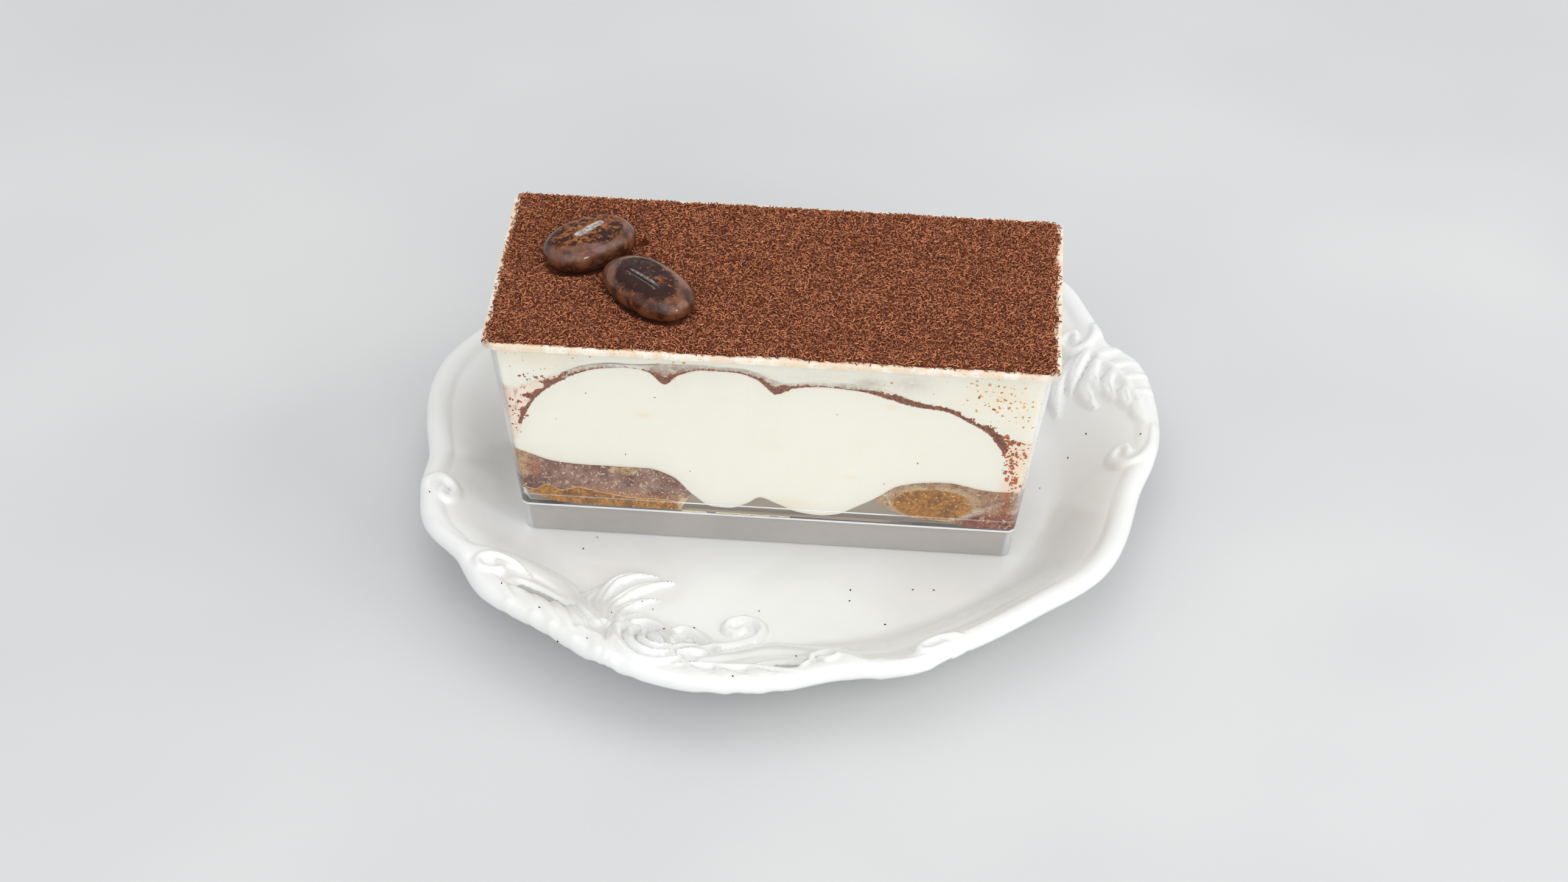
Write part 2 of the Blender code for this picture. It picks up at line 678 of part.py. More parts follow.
def main():
    clear_scene()
    parts = bpy.data.collections.new("tiramisu_portion")
    cutters = bpy.data.collections.new("cutters")
    for group in (parts, cutters):
        bpy.context.scene.collection.children.link(group)
    plate(parts, cutters)
    box(parts)
    ladyfingers(parts)
    creams(parts)
    cocoa_between(parts)
    cocoa_top(parts)
    for number, (x, y, turn) in enumerate(BEANS, start=1):
        bean(number, x, y, turn, parts, cutters)


main()
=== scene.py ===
"""The look of the tiramisu portion: glazed plate, clear box, layered food, cocoa and two beans.

Lengths are millimetres until a mesh is made. Plans of the food and the box are measured from the
middle of the box's foot, plans of the plate from the point that its rim's angles turn round.
"""

import itertools
import math

import bpy
import numpy as np
from mathutils import Matrix, Vector


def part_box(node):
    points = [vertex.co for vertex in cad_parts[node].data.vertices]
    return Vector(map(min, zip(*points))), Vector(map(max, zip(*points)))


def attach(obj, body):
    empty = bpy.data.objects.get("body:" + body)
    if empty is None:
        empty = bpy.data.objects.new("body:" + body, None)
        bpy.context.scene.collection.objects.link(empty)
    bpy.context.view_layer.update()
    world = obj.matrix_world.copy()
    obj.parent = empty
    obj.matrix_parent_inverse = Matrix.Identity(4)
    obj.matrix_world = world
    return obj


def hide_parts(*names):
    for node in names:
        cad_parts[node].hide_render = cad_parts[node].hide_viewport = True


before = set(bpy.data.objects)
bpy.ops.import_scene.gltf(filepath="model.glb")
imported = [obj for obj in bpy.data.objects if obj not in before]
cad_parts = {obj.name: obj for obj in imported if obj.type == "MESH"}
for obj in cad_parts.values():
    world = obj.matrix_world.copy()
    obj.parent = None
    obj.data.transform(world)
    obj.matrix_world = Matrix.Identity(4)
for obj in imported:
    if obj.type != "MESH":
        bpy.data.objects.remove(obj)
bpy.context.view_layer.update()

MM = 0.001
SHARP_FROM = 50
BOX_LOW, BOX_HIGH = (np.array(corner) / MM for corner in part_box("box"))
BOX_AT = (BOX_LOW[:2] + BOX_HIGH[:2]) / 2
BOX_FOOT = BOX_LOW[2]
PLATE_AT = BOX_AT + np.array([2.8, 4.0])

# Plate, as the solid has it
WELL_TOP = 6.0
WELL_RADIUS = 62.5
RIM_RISE = 11.0
BODY_THICKNESS = 3.8
EDGE_ROUND = 2.1
FOOT_OUTER, FOOT_INNER, FOOT_RECESS = 47.0, 42.5, 2.0
RIM_KNOTS = (
    (-180, 86.4), (-171, 85.0), (-162, 88.2), (-152, 91.0), (-144, 89.6), (-134, 92.3),
    (-124, 91.4), (-113, 94.0), (-101, 95.5), (-89, 93.1), (-78, 88.9), (-69, 90.4),
    (-58, 86.9), (-45, 85.6), (-31, 87.5), (-10, 84.5), (4, 88.4), (16, 91.2), (26, 93.2),
    (32, 90.5), (40, 94.4), (50, 100.2), (64, 101.5), (80, 97.5), (92, 91.5), (103, 93.5),
    (116, 91.5), (128, 87.0), (140, 86.4), (153, 87.9), (164, 89.4), (172, 88.4), (180, 86.4),
)

# Box, as the solid has it
RIM_LENGTH, RIM_WIDTH = 130.0, 65.3
FOOT_LENGTH, FOOT_WIDTH = 112.8, 46.8
BOX_HEIGHT = 57.3
END_FLANGE, SIDE_FLANGE, FLANGE_THICKNESS, BEAD = 1.2, 2.7, 1.5, 0.4
WALL = 1.1
FLOOR_UNDER, FLOOR_TOP, FLOOR_BEVEL = 6.3, 8.0, 2.2
CORNER, RIM_CORNER, FLOOR_CORNER = 2.0, 3.4, 0.8
FLANGE_UNDER, BEVEL_TOP = BOX_HEIGHT - FLANGE_THICKNESS, FLOOR_TOP + FLOOR_BEVEL

# Food outlines on the front wall, as the solids have them
CREAM_UNDERSIDE = (
    (-60, 25.0), (-54.7, 22.8), (-49, 20.9), (-42, 20.4), (-28, 20.4), (-22, 18.2),
    (-17.7, 13.4), (-13, 9.8), (-9, 9.6), (-5, 11.2), (-1.8, 13.4), (2, 11.8), (7, 9.6),
    (12, 9.0), (16, 9.6), (21, 12.6), (25, 15.4), (30, 19.4), (36, 20.9), (41, 21.3),
    (50, 19.6), (53, 19.4), (60, 20.0),
)
CREAM_TOP = (
    (-60, 25.8), (-57.8, 27.6), (-56.4, 32.8), (-53.1, 40), (-48.8, 44.4), (-43.6, 47.9),
    (-38, 49.9), (-32, 50.5), (-27.5, 49.6), (-23.8, 46.2), (-20.5, 49.2), (-15, 51.0),
    (-8, 50.9), (-3, 49.2), (1.5, 45.2), (5.5, 47.2), (12, 48.1), (20, 47.5), (27, 45.6),
    (33, 43.8), (39.5, 43.0), (45.4, 39.9), (49.4, 37.3), (52, 33.7), (54.2, 29.0),
    (55.4, 24.5), (58, 21.5), (60, 21.0),
)
UPPER_UNDERSIDE = (
    (-62, 44.6), (-58.5, 42.8), (-54, 44.7), (-48.7, 47.3), (-43.5, 50.2), (-37, 51.3),
    (37, 44.3), (41.4, 43.4), (46.3, 40.9), (50.3, 38.1), (54, 35.6), (62, 34.6),
)
RIGHT_FINGER_UNDERSIDE = ((20, 14.6), (25, 13.9), (29, 11.6), (34, 10.0), (42, 9.3), (46, 8.3), (62, 8.3))
LEFT_FINGER_UNDERSIDE = ((-62, 14.0), (-57, 12.4), (-53.5, 10.3), (-48, 8.5), (-40, 8.2), (0, 8.2))
LEFT_FINGER_END, LEFT_FINGER_LEAN, RIGHT_FINGER_START = -20.4, 0.5, 25.0
COCOA_LEVEL = 57.9
CREAM_TO = 57.1
PRESS = 0.08
BEAN_LENGTH, BEAN_WIDTH, BEAN_HEIGHT = 24.6, 14.6, 9.4
VISIBLE_BEANS = ((23.5, 15.1), (25.8, 14.9))
BEAN_SUNK = 1.3
BEANS = ((-44.4, 5.3, 40.0), (-29.0, -12.0, -43.0))


# Numbers


def curve_value(knots, at):
    """Heights of a smooth curve through the knots that never overshoots between two of them."""
    xs, ys = np.array(knots, float).T
    at = np.asarray(at, float)
    step = np.diff(xs)
    slope = np.diff(ys) / step
    turn = slope[:-1] * slope[1:] > 0
    inner = np.where(turn, 2 * slope[:-1] * slope[1:] / np.where(turn, slope[:-1] + slope[1:], 1), 0)
    tangent = np.concatenate([slope[:1], inner, slope[-1:]])
    i = np.clip(np.searchsorted(xs, at) - 1, 0, len(step) - 1)
    t = np.clip((at - xs[i]) / step[i], 0.0, 1.0)
    rise = ys[i] * (1 + 2 * t) * (1 - t) ** 2 + ys[i + 1] * t * t * (3 - 2 * t)
    return rise + step[i] * (tangent[i] * t * (1 - t) ** 2 - tangent[i + 1] * t * t * (1 - t))


def ramp(low, high, value):
    """0 below low, 1 above high, smooth between; it falls instead where high is the smaller."""
    t = np.clip((value - low) / (high - low), 0.0, 1.0)
    return t * t * (3 - 2 * t)


def lattice_value(cell, seed):
    """A fixed random number from -1 to 1 for each integer cell."""
    n = seed * 7919 + 1013
    for axis, prime in zip(range(cell.shape[-1]), (73856093, 19349663, 83492791)):
        n = n + cell[..., axis] * prime
    n = (n ^ (n >> 13)) & 0x7FFFFFFF
    n = (n * (n * n % 15731 + 789221) + 1376312589) & 0x7FFFFFFF
    return n / 0x3FFFFFFF - 1.0


def noise(points, size, seed):
    """Smooth random values from -1 to 1 whose bumps are about this many millimetres apart."""
    place = np.asarray(points, float) / size + 500.0
    cell = np.floor(place).astype(np.int64)
    t = place - cell
    t = t * t * (3 - 2 * t)
    total = 0.0
    for corner in itertools.product((0, 1), repeat=place.shape[-1]):
        share = np.prod(np.where(np.array(corner) == 1, t, 1 - t), axis=-1)
        total = total + share * lattice_value(cell + np.array(corner), seed)
    return total


def clouds(points, size, seed):
    """Noise of this size with finer noise over it."""
    scales = ((0.6, size, seed), (0.3, size / 2.1, seed + 1), (0.15, size / 4.3, seed + 2))
    broad, middle, fine = (share * noise(points, width, number) for share, width, number in scales)
    return broad + middle + fine


def smooth_path(points, step):
    """Points this far apart on a smooth curve through the given ones."""
    knots = np.array(points, float)
    knots = np.vstack([2 * knots[0] - knots[1], knots, 2 * knots[-1] - knots[-2]])
    made = []
    for a, b, c, d in zip(knots, knots[1:], knots[2:], knots[3:]):
        t = np.linspace(0, 1, max(int(np.linalg.norm(c - b) / step), 2), endpoint=False)[:, None]
        made.append(
            0.5 * (2 * b + (c - a) * t + (2 * a - 5 * b + 4 * c - d) * t**2 + (3 * b - a - 3 * c + d) * t**3)
        )
    return np.vstack(made + [knots[-2:-1]])


def colour(red, green, blue):
    """Screen values from 0 to 255 as the light that a shader takes."""
    screen = np.array([red, green, blue]) / 255
    return np.where(screen <= 0.04045, screen / 12.92, ((screen + 0.055) / 1.055) ** 2.4)


def turned(x, y, degrees):
    """The place x, y, turned round the origin."""
    c, s = math.cos(math.radians(degrees)), math.sin(math.radians(degrees))
    return x * c - y * s, x * s + y * c


def lay_on(under, over, share):
    """The colour under, with this share of the colour over on it."""
    share = np.clip(share, 0, 1)[:, None]
    return under * (1 - share) + np.asarray(over) * share


def painted(tint, *coats):
    """The tint with coats on it, each a red, a green, a blue and the share that it covers."""
    for red, green, blue, share in coats:
        tint = lay_on(tint, colour(red, green, blue), share)
    return tint


def near(away, reach):
    """1 where away is 0, and fading to nothing within about two reaches on both sides."""
    return np.exp(-((away / reach) ** 2))


def spot(x, z, middle_x, middle_z, reach_x, reach_z):
    """1 in the middle of a soft oval, fading outwards."""
    return np.exp(-(((x - middle_x) / reach_x) ** 2) - ((z - middle_z) / reach_z) ** 2)


# Meshes


def new_piece(name, points, faces, material, slot, replaced=(), smooth=True, **values):
    """A piece of the scene from points in millimetres, with a value or a colour at each point."""
    mesh = bpy.data.meshes.new(name)
    mesh.from_pydata((np.asarray(points) * MM).tolist(), [], faces)
    for key, data in values.items():
        data = np.asarray(data, float)
        if data.ndim == 1:
            mesh.attributes.new(key, "FLOAT", "POINT").data.foreach_set("value", data)
        else:
            full = np.column_stack([data, np.ones(len(data))])
            mesh.attributes.new(key, "FLOAT_COLOR", "POINT").data.foreach_set("color", full.ravel())
    mesh.update()
    if smooth:
        mesh.shade_smooth()
        mesh.set_sharp_from_angle(angle=math.radians(SHARP_FROM))
    mesh.materials.append(material)
    piece = bpy.data.objects.new(name, mesh)
    bpy.context.scene.collection.objects.link(piece)
    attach(piece, "root")
    for node in replaced:
        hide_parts(node)
    return piece


def ring_faces(rings, count):
    """Quads between rings of as many points, listed one after another."""
    start = count * np.arange(rings - 1)[:, None]
    i = np.arange(count)[None, :]
    j = (i + 1) % count
    quads = np.stack([start + i, start + j, start + count + j, start + count + i], -1)
    return quads.reshape(-1, 4).tolist()


def closed_rings(rings, count):
    """Faces between the rings, with the first and the last ring filled."""
    first, last = range(count), range(count * (rings - 1), count * rings)
    return ring_faces(rings, count) + [list(first)[::-1], list(last)]


def add_place(points, plan=BOX_AT, foot=None):
    """Points measured from the box's foot, as points of the scene."""
    return np.asarray(points) + np.array([*plan, BOX_FOOT if foot is None else foot])


# Materials


class Shading:
    """A material with a Principled shader, and short ways to add nodes to it."""

    def __init__(self, name, **values):
        self.made = bpy.data.materials.new(name)
        self.made.use_nodes = True
        self.tree = self.made.node_tree
        self.shader = self.tree.nodes["Principled BSDF"]
        self.place = self.node("ShaderNodeTexCoord").outputs["Object"]
        for key, value in values.items():
            self.shader.inputs[key.replace("_", " ")].default_value = value

    def node(self, kind, **settings):
        made = self.tree.nodes.new(kind)
        for key, value in settings.items():
            setattr(made, key, value)
        return made

    def link(self, output, target):
        self.tree.links.new(output, target)

    def noise(self, size, detail=3.0, roughness=0.55, distortion=0.0):
        """Noise whose features are about this many millimetres apart."""
        made = self.node("ShaderNodeTexNoise")
        made.inputs["Scale"].default_value = 1 / (size * MM)
        made.inputs["Detail"].default_value = detail
        made.inputs["Roughness"].default_value = roughness
        made.inputs["Distortion"].default_value = distortion
        self.link(self.place, made.inputs["Vector"])
        return made.outputs["Fac"]

    def range(self, value, low, high, to_low=0.0, to_high=1.0):
        made = self.node("ShaderNodeMapRange", interpolation_type="SMOOTHSTEP")
        for key, number in (("From Min", low), ("From Max", high), ("To Min", to_low), ("To Max", to_high)):
            made.inputs[key].default_value = number
        self.link(value, made.inputs["Value"])
        return made.outputs["Result"]

    def mix(self, share, first, second, blend="MIX"):
        """Mix two colours, each an output or a colour of its own."""
        made = self.node("ShaderNodeMix", data_type="RGBA", blend_type=blend)
        for socket, value in ((made.inputs[0], share), (made.inputs[6], first), (made.inputs[7], second)):
            if isinstance(value, bpy.types.NodeSocket):
                self.link(value, socket)
            elif np.ndim(value):
                socket.default_value = (*value, 1.0)
            else:
                socket.default_value = value
        return made.outputs[2]

    def math(self, operation, first, second):
        made = self.node("ShaderNodeMath", operation=operation)
        for socket, value in zip(made.inputs, (first, second)):
            if isinstance(value, bpy.types.NodeSocket):
                self.link(value, socket)
            else:
                socket.default_value = value
        return made.outputs[0]

    def product(self, first, second):
        return self.math("MULTIPLY", first, second)

    def spread(self, size, low, high, to_low=0.0, to_high=1.0, detail=3.0, **grain):
        """Noise of this size, turned from the range low to high into another."""
        return self.range(self.noise(size, detail, **grain), low, high, to_low, to_high)

    def mottle(self, under, over, size, detail, low, high, shares=(0.0, 1.0), blend="MIX", **grain):
        """The colour under, with the colour over on it where noise of this size is high."""
        return self.mix(self.spread(size, low, high, *shares, detail=detail, **grain), under, over, blend)

    def sway(self, size, detail, roughness, reach):
        """Noise of this size round 0, times this reach."""
        return self.product(self.math("SUBTRACT", self.noise(size, detail, roughness), 0.5), reach)

    def layer(self, roughness, base):
        """One more shader, for a coat on the first."""
        made = self.node("ShaderNodeBsdfPrincipled")
        made.inputs["Roughness"].default_value = roughness
        self.link(base, made.inputs["Base Color"])
        return made

    def cover(self, share, first, second):
        made = self.node("ShaderNodeMixShader")
        for socket, output in zip(made.inputs, (share, first.outputs[0], second.outputs[0])):
            self.link(output, socket)
        return made

    def attribute(self, name, output="Fac"):
        return self.node("ShaderNodeAttribute", attribute_name=name).outputs[output]

    def bump(self, height, depth, strength=1.0, over=None):
        """Tilt the surface as if the height, 0 to 1, stood this many millimetres tall."""
        made = self.node("ShaderNodeBump")
        made.inputs["Strength"].default_value = strength
        made.inputs["Distance"].default_value = depth * MM
        self.link(height, made.inputs["Height"])
        if over is not None:
            self.link(over, made.inputs["Normal"])
        return made.outputs["Normal"]

    def set(self, key, output):
        self.link(output, self.shader.inputs[key])


def porcelain():
    shading = Shading("glazed_porcelain", Specular_IOR_Level=0.5, Coat_Weight=0.35, Coat_Roughness=0.06)
    shading.set("Base Color", shading.mottle(colour(240, 241, 241), colour(236, 237, 235), 24, 2, 0.35, 0.7))
    shading.set("Roughness", shading.spread(6, 0.3, 0.7, 0.13, 0.22))
    wavy = shading.bump(shading.noise(9, 2), 0.12)
    shading.set("Normal", shading.bump(shading.noise(0.8, 2), 0.006, over=wavy))
    return shading.made


def clear_plastic():
    """Clear moulding that lets light straight through to the food, with a painted layer on it: white painted
    highlight along its bright lines and edges, warm-grey painted shade where shade shows through.
    """
    shading = Shading("clear_plastic", Transmission_Weight=1.0, IOR=1.28, Base_Color=(0.975, 0.975, 0.97, 1.0),
                      Coat_Weight=0.6, Coat_IOR=1.5, Coat_Roughness=0.02)
    shading.set("Roughness", shading.spread(5, 0.3, 0.75, 0.0, 0.03))
    shading.set("Normal", shading.bump(shading.noise(14, 1), 0.03))
    # The matte layer over the plastic is painted light and shade: bluish white, or warm grey where it is tinted.
    white = shading.mottle(colour(222, 227, 234), colour(240, 242, 245), 30, 2, 0.35, 0.65)
    milky_painted_light = shading.layer(0.35, shading.mix(shading.attribute("painted_shade_tint"), white, colour(168, 155, 142)))
    painted_light_cover = shading.product(shading.attribute("milky_painted_light"), shading.spread(9.0, 0.3, 0.6, 0.94, 1.0, 2))
    with_painted_light = shading.cover(painted_light_cover, shading.shader, milky_painted_light)
    tan = shading.mottle(colour(248, 240, 225), colour(238, 217, 188), 3.6, 3, 0.4, 0.62)
    grains = shading.spread(0.55, 0.58, 0.66, 0.0, 0.6, 3, roughness=0.6)
    patchy = shading.product(grains, shading.spread(5.0, 0.38, 0.6, 0.15, 1.0, 2))
    powder = shading.layer(0.8, shading.mix(patchy, tan, colour(204, 142, 98)))
    shading.link(shading.bump(shading.noise(0.5, 3), 0.12), powder.inputs["Normal"])
    grainy = shading.spread(0.9, 0.3, 0.5, 0.62, 1.0, 5, roughness=0.7)
    misted = shading.cover(shading.product(shading.attribute("dust"), grainy), with_painted_light, powder)
    straight = shading.node("ShaderNodeBsdfTransparent")
    straight.inputs["Color"].default_value = (0.95, 0.945, 0.935, 1.0)
    shadow_ray = shading.node("ShaderNodeLightPath").outputs["Is Shadow Ray"]
    passed = shading.product(shadow_ray, shading.range(shading.attribute("shade"), 0.0, 1.0, 1.0, 0.85))
    through = shading.cover(passed, misted, straight)
    shading.link(through.outputs[0], shading.tree.nodes["Material Output"].inputs["Surface"])
    return shading.made


def cream():
    """Whipped cream: painted stains, brown smears and a ragged cocoa line at its edge."""
    shading = Shading("cream", Subsurface_Weight=0.12, Subsurface_Scale=0.004, Subsurface_Radius=(1.0, 0.8, 0.6))
    painted = shading.attribute("tint", "Color")
    soft = shading.mottle(painted, colour(226, 220, 202), 5, 4, 0.5, 0.8, (0, 0.12))
    streaks = shading.spread(1.5, 0.38, 0.56, 0.55, 1.0, 5, roughness=0.65, distortion=0.8)
    film = shading.mottle(colour(146, 104, 68), colour(96, 64, 50), 0.9, 4, 0.4, 0.62)
    soft = shading.mix(shading.product(shading.attribute("smear"), streaks), soft, film)
    away = shading.attribute("line")
    ragged = shading.math("ADD", away, shading.sway(0.8, 5, 0.68, 2.6))
    inside = shading.range(ragged, -0.06, 0.06, 1.0, 0.0)
    grain = shading.mottle(colour(86, 47, 36), colour(144, 88, 63), 0.6, 4, 0.4, 0.6, roughness=0.65)
    deep = shading.range(away, -0.9, -0.4, 1.0, 0.0)
    pressed = shading.product(shading.spread(2.6, 0.45, 0.6, 0.0, 0.4, 2), deep)
    grain = shading.mix(pressed, grain, colour(106, 68, 56))
    rust = shading.range(ragged, -0.45, -0.1, 0.0, 0.85)
    grain = shading.mix(rust, grain, colour(150, 86, 54))
    shading.set("Base Color", shading.mix(inside, soft, grain))
    shading.set("Roughness", shading.range(inside, 0.0, 1.0, 0.42, 0.85))
    shading.set("Normal", shading.bump(shading.noise(2.4, 4), 0.03))
    return shading.made


def sponge():
    """Soaked biscuit: flaked and mottled, with dark pores of painted shade, and amber with painted glints below a
    pale tide line.
    """
    shading = Shading("soaked_sponge", Specular_IOR_Level=0.4, Subsurface_Weight=0.12, Subsurface_Scale=0.002)
    dry = shading.attribute("tint", "Color")
    dry = shading.mottle(dry, (0.4, 0.29, 0.27), 2.8, 5, 0.46, 0.64, (0, 0.55), "MULTIPLY", roughness=0.6)
    dry = shading.mottle(dry, colour(186, 158, 142), 1.5, 4, 0.53, 0.66, (0, 0.42), roughness=0.6)
    # Dark pores: painted shade in pits.
    dry = shading.mottle(dry, colour(84, 52, 44), 0.55, 3, 0.36, 0.44, (0.6, 0))
    dry = shading.mottle(dry, colour(214, 192, 160), 1.0, 2, 0.62, 0.65, (0, 0.85), roughness=0.5, distortion=1.4)
    amber = shading.mottle(
        colour(184, 130, 62), colour(142, 92, 36), 0.8, 5, 0.4, 0.62, roughness=0.7, distortion=0.6
    )
    amber = shading.mottle(amber, colour(96, 60, 24), 3.0, 5, 0.5, 0.6, (0, 0.6), roughness=0.7)
    # Small bright specks on the amber: painted glints.
    amber = shading.mottle(amber, colour(228, 184, 104), 0.7, 2, 0.62, 0.68, (0, 0.8))
    tide = shading.math("ADD", shading.attribute("wet"), shading.sway(1.3, 5, 0.65, 0.9))
    both = shading.mix(shading.range(tide, -0.08, 0.02, 1.0, 0.0), dry, amber)
    rim = shading.product(shading.range(tide, -0.12, 0.0), shading.range(tide, 0.08, 0.22, 1.0, 0.0))
    rim = shading.product(rim, shading.attribute("rim"))
    shading.set("Base Color", shading.mix(rim, both, colour(226, 186, 140)))
    shading.set("Roughness", shading.spread(1.1, 0.35, 0.65, 0.3, 0.6))
    shading.set("Normal", shading.bump(shading.noise(0.7, 5, 0.7), 0.16))
    return shading.made


# At its default colours this is the bed's powder, made dark as painted shade of the gaps between the crumbs; the
# crumbs pass their own colours.
def cocoa(name="cocoa_powder_painted_gap_shade", dark=(70, 34, 24), light=(118, 68, 48)):
    shading = Shading(name, Roughness=0.95, Specular_IOR_Level=0.12)
    powder = shading.mottle(colour(*dark), colour(*light), 0.45, 5, 0.3, 0.7, roughness=0.7)
    shading.set("Base Color", shading.mix(1.0, shading.attribute("tint", "Color"), powder, "MULTIPLY"))
    shading.set("Normal", shading.bump(shading.noise(0.3, 3, 0.6), 0.12))
    return shading.made


def painted_powder(name, deepen=0.35):
    """Powder that takes its colour from the mesh, some of it darker by this share."""
    shading = Shading(name, Roughness=0.9, Specular_IOR_Level=0.15)
    paint = shading.attribute("tint", "Color")
    deeper = shading.mix(deepen, paint, colour(60, 34, 26))
    shading.set("Base Color", shading.mottle(deeper, paint, 0.4, 4, 0.3, 0.7, roughness=0.65))
    shading.set("Normal", shading.bump(shading.noise(0.35, 3), 0.06))
    return shading.made


def chocolate():
    """Glossy bean shell, mottled, with broad mauve patches of painted sheen, worn to golden and dark blotches on
    top, with a painted highlight in the slot and painted shade in bean 2's slot.
    """
    shading = Shading("mottled_chocolate", Specular_IOR_Level=0.2, Coat_Weight=0.6, Coat_Roughness=0.1)
    shell = shading.mottle(colour(60, 32, 23), colour(114, 68, 44), 4.5, 4, 0.38, 0.62)
    shell = shading.mottle(shell, colour(134, 84, 54), 2.2, 4, 0.52, 0.66, (0, 0.55), roughness=0.6)
    # Broad mauve-grey patches: painted sheen.
    shell = shading.mottle(shell, colour(116, 86, 88), 8.0, 2, 0.54, 0.64, (0, 0.35))
    golden = shading.mottle(colour(100, 50, 20), colour(160, 96, 44), 1.1, 4, 0.38, 0.62)
    wear = shading.math("SUBTRACT", shading.noise(1.5, 5, 0.62, 0.6), shading.attribute("gild"))
    blotted = shading.mix(shading.range(wear, 0.465, 0.53), golden, colour(48, 25, 21))
    patch = shading.attribute("patch")
    top = shading.mix(patch, shell, blotted)
    # Pale grey in the slot and along its lips: painted highlight.
    pale = shading.mottle(colour(140, 134, 130), colour(196, 192, 190), 0.8, 4, 0.4, 0.6)
    slot_highlighted = shading.mix(shading.attribute("groove_and_highlight"), top, pale)
    # Near black in bean 2's slot: painted shade.
    shading.set("Base Color", shading.mix(shading.attribute("dark"), slot_highlighted, colour(36, 22, 20)))
    shading.set("Coat Weight", shading.range(patch, 0.0, 1.0, 0.6, 0.0))
    matte = shading.math("ADD", shading.spread(1.5, 0.35, 0.7, 0.2, 0.4, 4), shading.product(patch, 0.25))
    shading.set("Roughness", matte)
    rough = shading.bump(shading.noise(3.2, 2), 0.3)
    shading.set("Normal", shading.bump(shading.noise(0.9, 4, 0.6), 0.12, over=rough))
    return shading.made


# Camera, light and floor


def camera():
    """The photograph's viewing angle."""
    turn, tilt, roll = (math.radians(value) for value in (2.932, 35.499, 1.670))
    back = Vector((math.sin(turn) * math.cos(tilt), -math.cos(turn) * math.cos(tilt), math.sin(tilt)))
    right = Vector((0, 0, 1)).cross(back).normalized()
    up = back.cross(right)
    rows = (
        right * math.cos(roll) + up * math.sin(roll),
        up * math.cos(roll) - right * math.sin(roll),
        back,
    )
    place = Vector((*BOX_AT, BOX_FOOT)) + Vector((38.27, -705.93, 516.62))
    lens = bpy.data.cameras.new("camera")
    lens.lens, lens.sensor_width, lens.sensor_fit = 84.26, 36.0, "HORIZONTAL"
    lens.clip_start, lens.clip_end = 0.01, 20.0
    made = bpy.data.objects.new("camera", lens)
    made.matrix_world = Matrix.Translation(place * MM) @ Matrix(rows).transposed().to_4x4()
    bpy.context.scene.collection.objects.link(made)
    bpy.context.scene.camera = made


def soft_light(name, place, size, power, tint=(1, 1, 1)):
    """A square panel, in metres, that faces the plate."""
    lamp = bpy.data.lights.new(name, "AREA")
    lamp.shape, lamp.size, lamp.energy, lamp.color = "SQUARE", size, power, tint
    made = bpy.data.objects.new(name, lamp)
    made.location = place
    made.rotation_euler = (Vector(place) - Vector((0, 0, 0.03))).to_track_quat("Z", "Y").to_euler()
    bpy.context.scene.collection.objects.link(made)


def studio():
    soft_light("key", (1.2, -0.25, 0.8), 0.9, 4.4, (1.0, 0.99, 0.97))
    soft_light("front", (0.1, -1.5, 0.95), 1.6, 10.9)
    soft_light("window", (0.8, -1.0, 0.35), 0.22, 2.4)
    soft_light("rear", (0.1, 1.5, 0.9), 1.4, 1.4)
    soft_light("overhead", (-0.1, 0.1, 1.6), 1.6, 4.6)
    world = bpy.data.worlds.new("studio")
    world.use_nodes = True
    world.node_tree.nodes["Background"].inputs["Color"].default_value = (0.92, 0.925, 0.92, 1)
    world.node_tree.nodes["Background"].inputs["Strength"].default_value = 0.72
    bpy.context.scene.world = world
    bpy.context.scene.view_settings.view_transform = "Standard"


def floor():
    reach, under = 3000.0, -0.25
    mesh = bpy.data.meshes.new("floor")
    corners = [(x * reach * MM, y * reach * MM, under * MM) for x, y in ((-1, -1), (1, -1), (1, 1), (-1, 1))]
    mesh.from_pydata(corners, [], [(0, 1, 2, 3)])
    shading = Shading("pale_floor", Roughness=0.45, Specular_IOR_Level=0.3)
    tone = shading.range(shading.noise(160, 2), 0.3, 0.7)
    shading.set("Base Color", shading.mix(tone, colour(208, 209, 211), colour(217, 218, 219)))
    mesh.materials.append(shading.made)
    made = bpy.data.objects.new("floor", mesh)
    bpy.context.scene.collection.objects.link(made)


# Plate

